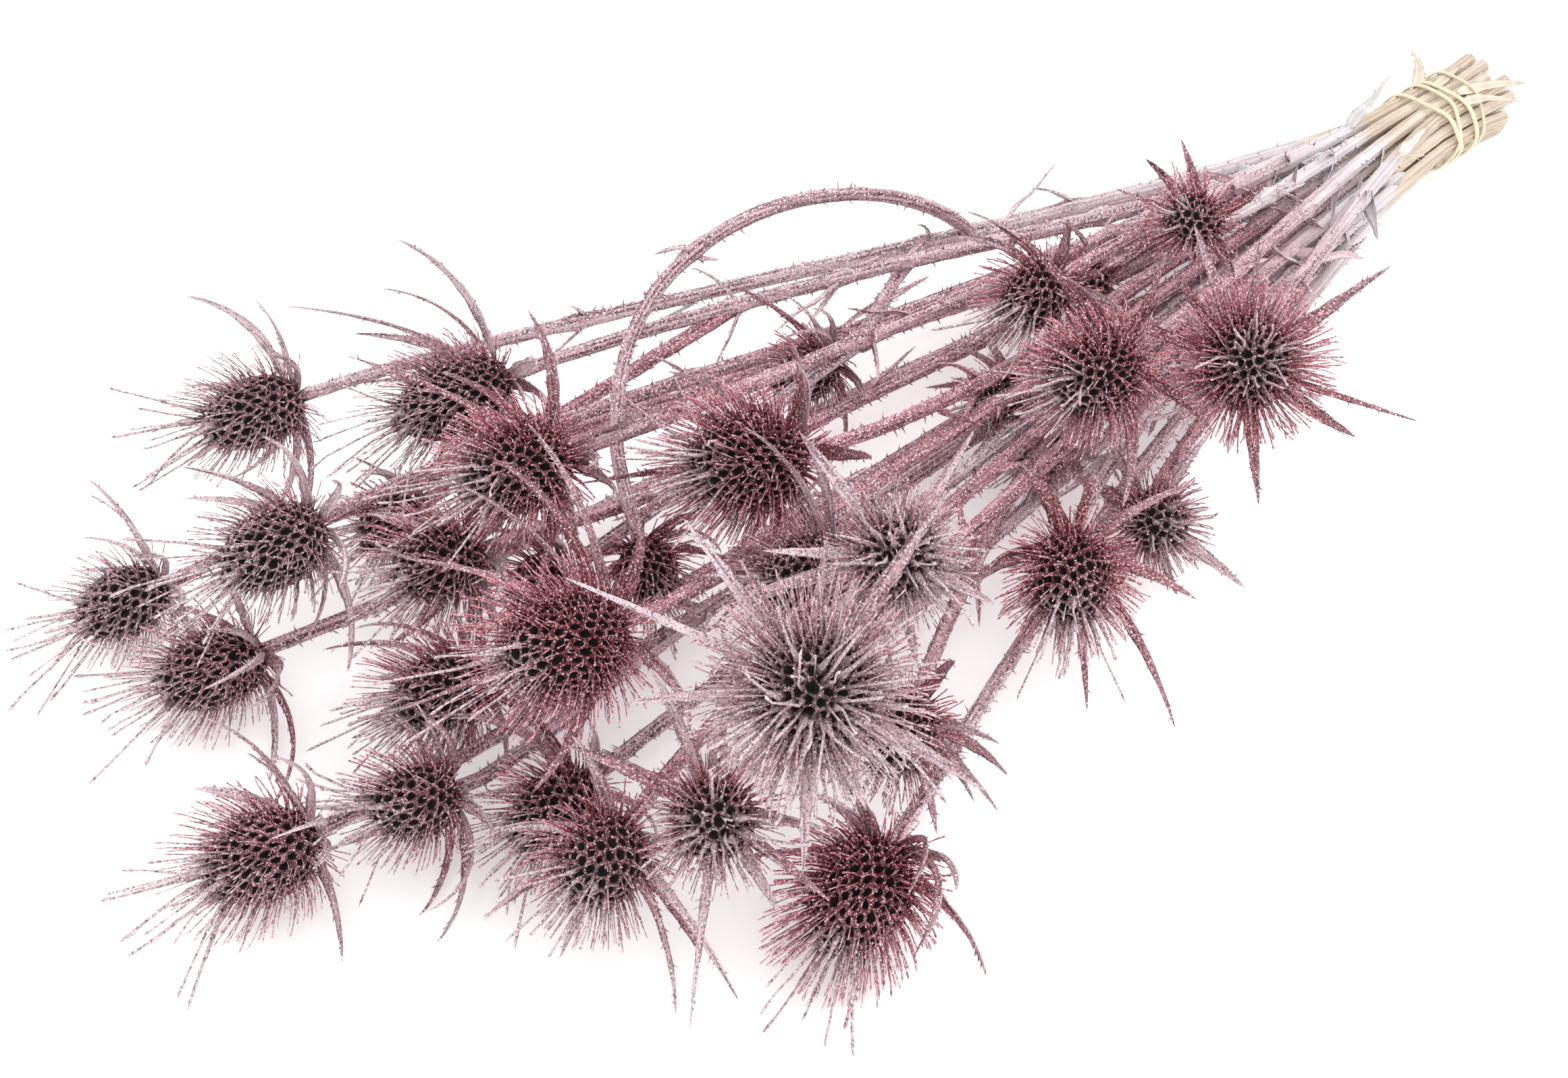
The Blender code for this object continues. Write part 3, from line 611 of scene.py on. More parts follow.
def frames(points, end_axis):
    """A side and an up vector at each point, carried along the line without twisting."""
    tangents = np.gradient(points, axis=0)
    tangents /= np.linalg.norm(tangents, axis=1)[:, None]
    tangents[-1] = end_axis
    up = np.array((0, 0, 1.0))
    made = []
    for tangent in tangents:
        up = up - tangent * (up @ tangent)
        up /= np.linalg.norm(up)
        made.append((np.cross(tangent, up), up))
    return np.array(made)


def stub_points(slot, rng):
    """The cut end of a stalk beyond the tie, which splays a little, and where it enters the tie."""
    middle = np.array((0, LOWEST_STALK + 2 * ROW_HEIGHT))
    end = middle + (slot - middle) * STUB_SPLAY
    length = rng.uniform(STUB_SHORTEST, STUB_LONGEST)
    return np.array(((length, *end), (TIE_HALF * 0.9, *slot)))


def core_point(head, polar):
    """The egg-shaped core at a polar angle from its base: its radius, and its place along the axis."""
    along = -0.5 * head.length * np.cos(polar)
    round_at = head.radius * np.sin(polar) * (1 + 0.1 * np.cos(polar))
    return round_at, along


def head_frame(head):
    """A head's axis, with a level side and an up vector square to it."""
    axis = heading(head)
    side = np.cross(axis, (0, 0, 1.0))
    side /= np.linalg.norm(side)
    return axis, side, np.cross(side, axis)


def surface(head, centre, polar, turn):
    """Points on the core, with the directions out from its axis, off the surface, up it and round it."""
    axis, side, up = head_frame(head)
    polar, turn = np.asarray(polar)[..., None], np.asarray(turn)[..., None]
    out = np.cos(turn) * side + np.sin(turn) * up
    round_at, along = core_point(head, polar)
    wider, further = core_point(head, polar + 0.01)
    tangent = unit((wider - round_at) * out + (further - along) * axis)
    circle = np.cross(axis, out)
    normal = np.cross(circle, tangent)
    normal *= np.sign((normal * out).sum(axis=-1, keepdims=True))
    return centre + round_at * out + along * axis, out, normal, tangent, circle


def bract_path(head, centre, polar, turn, length, open_angle, close_angle):
    """The middle line of a bract, which leaves the base sideways and bends towards the tip."""
    point, out, _, _, circle = surface(head, centre, polar, turn)
    axis = heading(head)
    steps = BRACT_STEPS - 1
    share = (np.arange(steps) + 0.5) / steps
    angle = np.radians(open_angle + (close_angle - open_angle) * share)[:, None]
    ways = (np.sin(angle) * out + np.cos(angle) * axis) * length / steps
    return np.vstack((point, point + np.cumsum(ways, axis=0))), circle


def ball_row(path, share, count, thick, thin):
    """Balls along the first share of a path, tapering."""
    at = np.linspace(0, share, count) * (len(path) - 1)
    return read_at(path, np.arange(len(path)), at), np.linspace(thick, thin, count)


def bract_balls(bract, thick):
    """Balls along a bract, past the points in its own head."""
    return ball_row(bract.path[OWN_POINTS:], bract.share, 18, thick, 0.3)


def core_balls(head, centre):
    """The core as a row of balls, for what grows from other heads to stay clear of."""
    axis = heading(head)
    angles = np.radians(np.linspace(25, 155, 9))
    points = np.array([centre + core_point(head, a)[1] * axis * 0.9 for a in angles])
    return points, np.array([core_point(head, a)[0] + 0.3 for a in angles])


def stems_and_cores(stems, centres, extra):
    """Balls along every stem, thicker than it by some extra, and in every core."""
    made = Obstacles()
    for i, stem in enumerate(stems):
        radii = stem_radius(i, np.linspace(0, 1, len(stem)))
        made.add(stem[:-4], radii[:-4] + extra, STEM_OWNERS + i)
    for number, (head, centre) in enumerate(zip(HEADS, centres), 1):
        made.add(*core_balls(head, centre), number)
    return made


def plan_head(number, centre, obstacles):
    """A head's bracts, and the root, way and length of its crown spines, as its solid draws them."""
    head = HEADS[number - 1]
    rng = random.Random(SEED * 100 + number)
    axis = heading(head)
    balls = obstacles.near(centre, 2.6 * (head.length + head.bristle), number)
    mine = Obstacles()
    planned = []
    crown_spines = []

    bracts = crown = 5 if head.radius > BIG_CORE else 4
    narrowing = 2.2 - 1.7 * np.linspace(0, 1, BRACT_STEPS)
    first_turn = rng.uniform(0, 2 * math.pi)
    for k in range(bracts):
        best = None
        length = head.length * rng.uniform(0.95, 1.45)
        for _ in range(BRACT_TURNS):
            turn = first_turn + 2 * math.pi * (k + rng.uniform(-0.2, 0.2)) / bracts
            spread = (rng.uniform(80, 100), rng.uniform(20, 60))
            path, circle = bract_path(head, centre, BRACT_POLAR, turn, length, *spread)
            share = clear_share(path, narrowing, balls)
            if best is None or share > best.share + BETTER:
                best = Bract(path, circle, length, share)
        if best.share * length > SHORTEST_BRACT:
            count = max(2, int(best.share * length / 1.2))
            mine.add(*ball_row(best.path, best.share, count, 2.0, 0.5), number)
            planned.append(best)

    spines = int(round(SPINES_PER_SIZE * head.radius * head.length))
    lowest, highest = (math.cos(polar) for polar in SPINE_POLARS)
    for k in range(spines + crown):
        if k < spines:
            polar = math.acos(lowest + (highest - lowest) * (k + 0.5) / spines)
            turn = GOLDEN * k
            length = head.bristle * rng.uniform(0.9, 1.12) * (0.95 + TIP_GAIN * k / spines)
            lean = 0.5 + 0.35 * k / spines
            thick = SPINE_ROOT
        else:
            polar = CROWN_SPINE_POLAR
            turn = GOLDEN * spines + 2 * math.pi * (k + 0.5) / crown
            length = head.length * rng.uniform(0.55, 0.85)
            lean = rng.uniform(1.3, 2.4)
            thick = CROWN_ROOT
        root, _, normal, _, _ = surface(head, centre, polar, turn)
        way = unit(normal + lean * axis)
        path = root + way * np.linspace(0, length, int(length) + 2)[:, None]
        radii = thick / 2 * (1 - np.linspace(0, 1, len(path)))
        own_bracts = mine.near(root, 60, -1)
        share = min(clear_share(path, radii, balls), clear_share(path[2:], radii[2:], own_bracts))
        if share * length > 2:
            mine.add(*ball_row(path, share, int(length * share) + 2, thick / 2, 0.1), number)
            if k >= spines:
                crown_spines.append((root, way, length * share))
    obstacles.add(mine.points, mine.radii, number)
    return planned, crown_spines


# Meshes


class Shape:
    """Vertices with a tone and a share of glitter each, and faces with a finish each, for one mesh."""

    def __init__(self):
        self.points = []
        self.tones = []
        self.grain = []
        self.faces = []
        self.finishes = []
        self.smooth = []
        self.count = 0

    def add(self, points, tones, faces, finish=0, smooth=True, grain=None):
        """Faces are arrays of vertex numbers, counted from the first of these points.

        The grain is where the points are for the grime, shortened along the way that the fibres run.
        """
        self.points.append(points)
        self.grain.append(points if grain is None else grain)
        toned = np.ones((len(points), 4))
        toned[:, : np.shape(tones)[-1]] = tones
        self.tones.append(toned)
        for some in faces:
            self.faces += (some + self.count).tolist()
            self.finishes += [finish] * len(some)
            self.smooth += [smooth] * len(some)
        self.count += len(points)

    def make(self, name, finishes, node):
        mesh = bpy.data.meshes.new(name)
        points = np.vstack(self.points)
        points[:, 2] = np.maximum(points[:, 2], 0.2)
        points = points * MM + SHIFT
        mesh.from_pydata(points.tolist(), [], self.faces)
        mesh.polygons.foreach_set("material_index", self.finishes)
        mesh.polygons.foreach_set("use_smooth", self.smooth)
        tones = mesh.attributes.new("tone", "FLOAT_COLOR", "POINT")
        tones.data.foreach_set("color", np.clip(np.vstack(self.tones), 0, 1).astype(np.float32).ravel())
        grain = mesh.attributes.new("grain", "FLOAT_VECTOR", "POINT")
        grain.data.foreach_set("vector", (np.vstack(self.grain) * MM).astype(np.float32).ravel())
        for finish in finishes:
            mesh.materials.append(finish)
        mesh.update()
        piece = bpy.data.objects.new(name, mesh)
        bpy.context.scene.collection.objects.link(piece)
        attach(piece, "root")
        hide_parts(node)


def corners_at(*degrees):
    """Corners of a ring of radius 1."""
    angles = np.radians(degrees)
    return np.stack((np.cos(angles), np.sin(angles)), axis=-1)


def walls_between(rings, corners):
    """Quads that join each ring of corners to the next."""
    k = np.arange(corners)
    following = (k + 1) % corners
    row = (np.arange(rings - 1) * corners)[:, None]
    quads = (row + k, row + following, row + corners + following, row + corners + k)
    return np.stack(quads, axis=-1).reshape(-1, 4)


def loft(centres, across, over, profile):
    """Closed lofts: for each row of ring centres, rings of the profile, a flat root and a pointed tip.

    Centres are (lofts, rings + 1, 3), the last of them the tip. The profile is (lofts or 1, rings,
    corners, 2), in steps across and over, counterclockwise about the way that the loft grows.
    """
    lofts, rings = centres.shape[0], centres.shape[1] - 1
    corners = profile.shape[2]
    middles, across, over = (line[:, :-1, None] for line in (centres, across, over))
    ring_points = middles + profile[..., :1] * across + profile[..., 1:] * over
    points = np.concatenate((ring_points.reshape(lofts, -1, 3), centres[:, -1:]), axis=1)
    starts = np.arange(lofts)[:, None, None] * (rings * corners + 1)
    k = np.arange(corners)
    last = (rings - 1) * corners
    tips = np.stack((last + k, last + (k + 1) % corners, np.full(corners, rings * corners)), axis=-1)
    faces = (walls_between(rings, corners), tips, k[::-1][None])
    return points.reshape(-1, 3), [(some[None] + starts).reshape(-1, some.shape[-1]) for some in faces]


def read_along(path, shares):
    """Points at shares of the way along evenly spaced points, for one path or for many."""
    at = np.asarray(shares) * (path.shape[-2] - 1)
    low = np.clip(np.floor(at).astype(int), 0, path.shape[-2] - 2)
    part = (at - low)[..., None]
    if path.ndim == 2:
        return path[low] * (1 - part) + path[low + 1] * part
    rows = np.arange(len(path))[:, None]
    return path[rows, low] * (1 - part) + path[rows, low + 1] * part


# Heads


def net_sites(head, count):
    """The pits' polar angles and turns: a golden-angle spiral, even by area, from base to tip."""
    polar = np.linspace(0, math.pi, 400)
    round_at, along = core_point(head, polar)
    steps = np.hypot(np.diff(round_at), np.diff(along))
    area = np.concatenate(([0], np.cumsum(steps * (round_at[1:] + round_at[:-1]))))
    wanted = (np.arange(count) + 0.5) / count * area[-1]
    return np.interp(wanted, area, polar), GOLDEN * np.arange(count)


def hull_triangles(points):
    """The triangles of the points' convex hull, as numbers of points."""
    bm = bmesh.new()
    made = [bm.verts.new(point) for point in points]
    for number, vert in enumerate(made):
        vert.index = number
    bmesh.ops.convex_hull(bm, input=made)
    bmesh.ops.triangulate(bm, faces=bm.faces)
    triangles = np.array([[v.index for v in face.verts] for face in bm.faces])
    bm.free()
    return triangles


def add_net(shape, head, centre, polar, turn, tones, draw):
    """The net round the pits: each pit is its site's polygon in the hull's dual, pulled in and sunk.

    It returns the net's own corners, as polar angles and turns.
    """
    sites, _, normals, tangents, circles = surface(head, centre, polar, turn)
    triangles = hull_triangles(sites)
    crests = sites[triangles].mean(axis=1)
    site = triangles.ravel()
    crest = np.repeat(np.arange(len(triangles)), 3)
    away = crests[crest] - sites[site]
    angle = np.arctan2((away * tangents[site]).sum(axis=1), (away * circles[site]).sum(axis=1))
    order = np.lexsort((angle, site))
    site, crest, away = site[order], crest[order], away[order]
    firsts = np.flatnonzero(np.diff(site, prepend=-1))
    following = np.arange(1, len(site) + 1)
    following[np.append(firsts[1:], len(site)) - 1] = firsts

    bare = polar < BARE_POLAR
    depth = np.where(bare, BARE_DEPTH, PIT_DEPTH * np.clip(head.radius / 12, 0.7, 1.2))
    inset = np.where(bare, BARE_INSET, draw.uniform(*PIT_INSET, len(sites)))
    rims = crests + unit(crests - centre) * RIM_HEIGHT
    lips = sites[site] + away * (1 - inset[site])[:, None] - normals[site] * LIP_DEPTH
    floors = sites - normals * depth[:, None]
    lip = len(rims) + np.arange(len(lips))
    points = np.vstack((rims, lips, floors))
    walls = np.stack((crest, crest[following], lip[following], lip), axis=1)
    pits = np.stack((lip, lip[following], len(rims) + len(lips) + site), axis=1)
    rim_tones = tones[triangles].mean(axis=1)
    # Painted shade: the lips are painted darker, and the pits' inner walls and floors near black
    lip_tones = tones[site] * LIP_PAINTED_SHADE
    floor_tones = np.where(bare[:, None], tones, PIT_PAINTED_SHADE)
    shape.add(points, np.vstack((rim_tones, lip_tones, floor_tones)), [walls], NET, False)
    dark = np.where(bare[site][:, None], lip_tones, mix(lip_tones, PIT_PAINTED_SHADE, PIT_PAINTED_DARK))
    shape.add(points, np.vstack((rim_tones, dark, floor_tones)), [pits], PIT, False)
    axis, side, up = head_frame(head)
    local = crests - centre
    crest_polar = np.arccos(np.clip(-(local @ axis) / (head.length / 2), -1, 1))
    return crest_polar, np.arctan2(local @ up, local @ side)


def bristle_paths(roots, normals, circles, axis, lengths, leans, sway, curl, wave):
    """Lines that leave the core nearly square to it and curve towards the tip, some of them wavy."""
    share = np.linspace(0, 1, BRISTLE_STEPS)[:, None]
    bend = leans[:, None, None] * (0.45 + curl[:, None, None] * share)
    ripple = np.sin(8 * share + 40 * sway[:, None, None]) * wave[:, None, None]
    across = sway[:, None, None] * share + ripple
    ways = unit(normals[:, None] + axis * bend + circles[:, None] * across)
    steps = ways[:, :-1] * (lengths / (BRISTLE_STEPS - 1))[:, None, None]
    return np.concatenate((roots[:, None], roots[:, None] + np.cumsum(steps, axis=1)), axis=1)


def add_bristles(shape, form, paths, shares, circles, widths, shade):
    """Stiff bristles: a flat, broad root that narrows to a thin round stem with a small frosted bead."""
    along, wide, thick = np.array(form).T
    centres = read_along(paths, along[None] * shares[:, None])
    steps = unit(np.gradient(centres, axis=1))
    across = unit(circles[:, None] - steps * (steps * circles[:, None]).sum(axis=-1, keepdims=True))
    over = np.cross(steps, across)
    sizes = np.stack((wide, thick), axis=-1)[:-1]
    profile = corners_at(90, 210, 330)[None, None] * sizes[None, :, None] * widths[:, None, None, None]
    points, faces = loft(centres, across, over, profile)
    tones = np.concatenate((np.repeat(shade[:, :-1], 3, axis=1), shade[:, -1:]), axis=1)
    shape.add(points, tones.reshape(-1, 3), faces, BRISTLE)


def add_blade(shape, path, circle, length, share, width, rng, tones, finish):
    """A bract or leaf: a channelled blade that twists and narrows to a point, with toothed edges."""
    count = max(6, int(length * share / BLADE_RING))
    at = np.linspace(0, share, count + 1)
    centres = read_along(path, at)
    steps = unit(np.gradient(centres, axis=0))
    across = unit(circle - steps * (steps @ circle)[:, None])
    over = np.cross(steps, across)
    along = np.linspace(0, 1, count + 1)
    twist = rng.uniform(-0.9, 0.9) * along**1.5
    wave = rng.uniform(0, 6)
    twist += 0.12 * np.sin(wave + 9 * along)
    turned = across * np.cos(twist)[:, None] + over * np.sin(twist)[:, None]
    over = over * np.cos(twist)[:, None] - across * np.sin(twist)[:, None]
    half = width / 2 * np.minimum(1, 0.55 + 3 * along) * (1 - along) ** 0.75 + 0.12
    half *= 1 + 0.08 * np.sin(wave + 31 * along)
    curl = rng.uniform(0.25, 0.6) * half
    thick = BLADE_THICKNESS * (1 - 0.5 * along)
    wide, curled, raised = np.array(BLADE_CORNERS).T
    height = curl[:, None] * curled + thick[:, None] * raised
    ring = np.stack((half[:, None] * wide, height), axis=-1)[:-1]
    points, faces = loft(centres[None], turned[None], over[None], ring[None])
    inner, outer = tones
    corners = len(BLADE_CORNERS)
    uneven = np.array([rng.uniform(0.9, 1.1) for _ in range(count + 1)])
    shares, uneven = (np.append(np.repeat(line[:-1], corners), line[-1]) for line in (along, uneven))
    shade = mix(inner, outer, shares) * uneven[:, None]
    # Painted light and shade: each corner of the ring is made lighter or darker by its place round the
    # blade
    rim = np.append(np.tile(BLADE_PAINTED_LIGHT, count), 1.0)[:, None]
    flow = np.tile(at[:-1, None, None] * length / FIBRE, (1, corners, 1))
    grain = np.vstack((np.concatenate((ring, flow), axis=-1).reshape(-1, 3), (0, 0, length / FIBRE)))
    shape.add(points, np.clip(shade * rim, 0, 1), faces, finish, True, grain + wave * 10)

    rows = [k for k in range(1, count - 1) if rng.random() < TOOTH_CHANCE]
    if rows:
        rows = np.array(rows)
        sides = np.array([rng.choice((-1, 1)) for _ in rows])[:, None]
        edge = centres[rows] + sides * half[rows, None] * turned[rows] + curl[rows, None] * over[rows]
        out = unit(sides * turned[rows] + 0.7 * steps[rows] + 0.3 * over[rows])
        size = np.array([rng.uniform(*TOOTH_LENGTH) for _ in rows])
        shade = mix(inner, outer, along[rows])
        add_thorns(shape, edge, out, out, steps[rows], size, TOOTH_HALF, shade, finish)


def add_thorns(shape, roots, out, ways, along, sizes, half, tones, finish):
    """Small three-sided thorns, with their roots sunk in."""
    across = unit(along - ways * (ways * along).sum(axis=1)[:, None])
    over = np.cross(ways, across)
    roots = roots - out * THORN_SUNK
    centres = np.stack((roots, roots + ways * sizes[:, None]), axis=1)
    both = [np.repeat(way[:, None], 2, axis=1) for way in (across, over)]
    points, faces = loft(centres, *both, corners_at(0, 120, 240)[None, None] * half)
    shape.add(points, np.repeat(tones, 4, axis=0), faces, finish)


def make_head(number, centre, plan, balls):
    """One head: its raised net with pits darkened by painted shade, a bristle at each pit, the crown and
    the bracts.
    """
    head = HEADS[number - 1]
    frost = FROST[number - 1]
    bracts, crown_spines = plan
    rng = random.Random(SEED * 1000 + number)
    draw = np.random.RandomState(SEED * 1000 + number)
    shape = Shape()

    solid_bracts = len(bracts)
    bracts = bracts + more_bracts(head, centre, balls, rng)
    rows = [bract_balls(bract, 1.2) for bract in bracts]
    balls = tuple(np.concatenate([part[k] for part in (balls, *rows)]) for k in (0, 1))

    area = 2 * math.pi * head.radius * (head.radius + head.length * 0.86) * 0.5
    count = int(area / PIT_PITCH**2)
    polar, turn = net_sites(head, count)
    drift = frost_drift(head, centre, surface(head, centre, polar, turn)[0], frost)
    tones = mix(NET_ROSE, NET_GREY, drift) * draw.uniform(0.75, 1.2, (count, 1))
    crest_polar, crest_turn = add_net(shape, head, centre, polar, turn, tones, draw)

    coat = (shape, number, centre, frost, balls, draw)
    grown = polar > BARE_POLAR
    add_coat(*coat, STOUT, polar[grown], turn[grown], PIT_PITCH * 0.5, 1.0)
    grown = (crest_polar > BARE_POLAR) & (draw.uniform(0, 1, len(crest_polar)) < FINE_SHARE)
    order = np.argsort(crest_polar[grown])
    add_coat(*coat, FINE, crest_polar[grown][order], crest_turn[grown][order], 0, FINE_GAIN)

    if crown_spines:
        roots, ways, lengths = (np.array(column) for column in zip(*crown_spines))
        count = len(roots)
        axis = heading(head)
        circle = unit(np.cross(ways, axis))
        bend, sway = draw.uniform(-0.1, 0.25, count), draw.normal(0, 0.2, count)
        same, wave = np.ones(count), np.full(count, 0.12)
        paths = bristle_paths(roots - ways * 0.5, ways, circle, axis, lengths, bend, sway, same, wave)
        tone = mix(BRISTLE_GREY, TIP_WHITE, 0.5 + 0.5 * frost)
        shade = np.broadcast_to(tone, (count, len(STOUT), 3))
        add_bristles(shape, STOUT, paths, same, circle, np.full(count, CROWN_WIDTH), shade)

    for k, bract in enumerate(bracts):
        pale = min(1, max(0, frost + rng.uniform(-0.5, 0.45)))
        tones = tuple(mix(BRACT_ROSE, BRACT_PALE, share) for share in (pale, min(1, pale + 0.35)))
        width = BRACT_WIDTH * (rng.uniform(1.05, 1.5) if k < solid_bracts else rng.uniform(0.6, 1.1))
        add_blade(shape, *bract, width, rng, tones, BRACT)
    shape.make(f"bristly_head_{number:02d}", head_finishes, f"head_{number:02d}")


def more_bracts(head, centre, balls, rng):
    """The rest of the bracts, too thin for the solids, each at the clearest of a few turns."""
    grown = []
    thin = np.full(BRACT_STEPS - OWN_POINTS, 0.6)
    for _ in range(rng.choice(MORE_BRACTS)):
        best = None
        length = head.length * rng.uniform(0.9, 1.8)
        for _ in range(MORE_TURNS):
            turn = rng.uniform(0, 2 * math.pi)
            spread = (rng.uniform(70, 105), rng.uniform(-5, 60))
            polar = math.radians(rng.uniform(24, 36))
            path, circle = bract_path(head, centre, polar, turn, length, *spread)
            share = clear_share(path[OWN_POINTS:], thin, balls)
            share = min(share, np.append(path[:, 2] > HIGHEST, True).argmax() / BRACT_STEPS)
            if best is None or share > best.share + BETTER:
                best = Bract(path, circle, length, share)
        if best.share * length > SHORTEST_MORE:
            grown.append(best)
    return grown


def add_coat(shape, number, centre, frost, balls, draw, form, polar, turn, down, gain):
    """Bristles at some places, ordered from base to tip: longer towards the tip, with a long crown."""
    head = HEADS[number - 1]
    sparse = number in SPARSE
    roots, _, normals, tangents, circles = surface(head, centre, polar, turn)
    count = len(roots)
    drift = frost_drift(head, centre, roots, frost)
    roots = roots - tangents * down - normals * 0.5
    share = (np.arange(count) + 0.5) / count
    lengths = head.bristle * draw.uniform(0.85, 1.15, count) * (0.95 + TIP_GAIN * share) * gain
    leans = 0.45 + 0.4 * share + draw.normal(0, 0.13, count)
    sway = draw.normal(0, 0.24, count)
    widths = draw.uniform(0.8, 1.2, count) * (SPARSE_WIDTH if sparse else 1)
    broken = draw.uniform(0, 1, count) < (SPARSE_BROKEN if sparse else BROKEN)
    lengths[broken] *= draw.uniform(0.2, 0.6, broken.sum())
    curl, wave = np.full(count, 1.1), np.zeros(count)
    high = (polar > CROWN_POLAR) & (draw.uniform(0, 1, count) < CROWN_CHANCE * (0.3 + frost))
    some = high.sum()
    lengths[high] = head.length * draw.uniform(0.5, 1.15, some)
    leans[high] = draw.uniform(0.1, 1.6, some)
    curl[high] = draw.uniform(-0.8, 1.3, some)
    wave[high] = draw.uniform(0.05, 0.22, some)
    sway[high] *= 2.0
    widths[high] = draw.uniform(1.4, 2.1, some)
    paths = bristle_paths(roots, normals, circles, heading(head), lengths, leans, sway, curl, wave)
    shares = clear_shares(paths[:, 2:], balls)
    kept = shares * lengths > SHORTEST_BRISTLE
    frosting = np.clip(drift + draw.normal(0, 0.2, count) + 0.35 * high, 0, 1)
    along = np.array(form)[None, :, 0]
    root_tone = mix(ROOT_ROSE, ROOT_GREY, frosting)[:, None]
    mid_tone = mix(BRISTLE_ROSE, BRISTLE_GREY, frosting)[:, None]
    mid_tone = mid_tone * draw.uniform(0.75, 1.25, (count, 1, 1))
    tip_tone = mix(TIP_ROSE, TIP_WHITE, frosting)[:, None]
    tipped = np.clip((along - 0.5) / 0.45, 0, 1) ** 1.5
    tipped = np.where(high[:, None], 0.35 * (along > 0), tipped)
    shade = mix(root_tone, mid_tone, np.clip(along / 0.4, 0, 1))
    shade = np.clip(mix(shade, tip_tone, tipped), 0, 1)
    add_bristles(shape, form, paths[kept], shares[kept], circles[kept], widths[kept], shade[kept])


def frost_drift(head, centre, points, frost):
    """How white each place on a head is: more on the sprayed side, and most in a tuft at the tip."""
    axis = heading(head)
    span = (points - centre) / (head.length / 2)
    tuft = 0.7 * np.clip((span @ axis - 0.7) / 0.25, 0, 1)
    return np.clip(frost + 0.2 * (span @ axis) + tuft + 0.28 * (span @ SPRAY_SIDE), 0, 1)


# Stalks


def stem_tones(x, rng):
    """A stem's colour by its distance from the tie, and how far it is chalky there, and then rose."""
    straw_end = -STRAW_END + rng.uniform(-18, 12)
    chalk_end = -CHALK_END + rng.uniform(-45, 45)
    to_chalk = np.clip((straw_end - x) / STRAW_BLEND, 0, 1)
    to_rose = np.clip((chalk_end + CHALK_EARLY - x) / CHALK_BLEND, 0, 1)
    rose = mix(STEM_ROSE, STEM_PALE, rng.uniform(0, 1) ** 1.5)
    return mix(mix(STRAW, STEM_CHALK, to_chalk), rose, to_rose), to_chalk, to_rose


def add_stem(shape, index, stem, nodes, rng, stub=None):
    """One ribbed stem with its swollen nodes, thorns and leaf scraps."""
    run = distance_along(stem)
    length = run[-1]
    rings = int(length / STEM_RING)
    places = np.linspace(0, length, rings)
    points = read_at(stem, run, places)
    radii = stem_radius(index, places / length)
    radii = radii * (1 + STEM_GAIN * np.clip((-points[:, 0] - 40) / 80, 0, 1))
    for node in nodes:
        swell = np.exp(-(((places - node - NODE_LENGTH / 2) / (1.4 * NODE_LENGTH)) ** 2))
        radii = radii * (1 + (NODE_SWELL - 1) * swell)
    if stub is not None:
        first = np.linspace(stub[0], stub[1], 6)
        points = np.vstack((first, points))
        radii = np.concatenate((np.full(len(first), radii[0]), radii))
    count = len(points)
    carried = frames(points, heading(HEADS[index]))
    sides, ups = carried[:, 0], carried[:, 1]
    spin = rng.uniform(0, 6) + rng.uniform(-1.2, 1.2) * np.linspace(0, 1, count)
    angles = spin[:, None] + 2 * math.pi * np.arange(STEM_SIDES) / STEM_SIDES
    odd = np.arange(STEM_SIDES) % 2
    draw = np.random.RandomState(SEED * 50 + index)
    lumps = 1 + LUMPS * draw.normal(0, 1, (count, STEM_SIDES))
    reach_out = radii[:, None] * np.where(odd, GROOVE, RIB) * lumps
    profile = np.stack((np.cos(angles) * reach_out, np.sin(angles) * reach_out), axis=-1)

    tones, chalk, rosy = stem_tones(points[:, 0], rng)
    tones = tones * draw.uniform(0.95, 1.04, (count, 1))
    # Painted shade: the groove sides darken towards the painted groove shade of their part of the stem
    dark = mix(mix(STRAW_GROOVE_PAINTED_SHADE, CHALK_GROOVE_PAINTED_SHADE, chalk), STEM_GROOVE_PAINTED_SHADE, rosy)[:, None]
    drift = draw.normal(0, 1, (count + 8, STEM_SIDES))
    drift = sum(drift[k : k + count] for k in range(9)) / 3
    lines = draw.uniform(0.3, 1, STEM_SIDES) * odd
    shade = mix(tones[:, None], dark, np.clip(0.04 + 0.85 * lines + 0.2 * drift, 0, 1))
    glitter = np.repeat((0.12 * chalk + 0.88 * rosy)[:, None, None], STEM_SIDES, axis=1)
    shade = np.concatenate((np.clip(shade, 0, 1), glitter), axis=-1)

    flow = distance_along(points)[:, None, None] / FIBRE + 100 * index
    grain = np.concatenate((profile, np.repeat(flow, STEM_SIDES, axis=1)), axis=-1)
    walls = points[:, None] + profile[..., :1] * ups[:, None] + profile[..., 1:] * sides[:, None]
    k = np.arange(STEM_SIDES)
    ends = (k[::-1][None], ((count - 1) * STEM_SIDES + k)[None])
    shape.add(
        walls.reshape(-1, 3),
        shade.reshape(-1, 4),
        (walls_between(count, STEM_SIDES), *ends),
        grain=grain.reshape(-1, 3),
    )
    if stub is not None:
        add_cut_end(shape, points[0], walls[0])
    add_stem_thorns(shape, points, walls, tones, chalk, draw)
    for node in nodes:
        at = int(node / length * rings) + (count - rings)
        if chalk[at] > 0.5:
            add_scraps(shape, points, at, sides, ups, radii[at], tones[at], rng)
    if stub is not None:
        frosty = np.hstack((tones, rosy[:, None]))
        for remnants in REMNANTS:
            add_remnants(shape, points, sides, ups, radii, frosty, rng, *remnants)


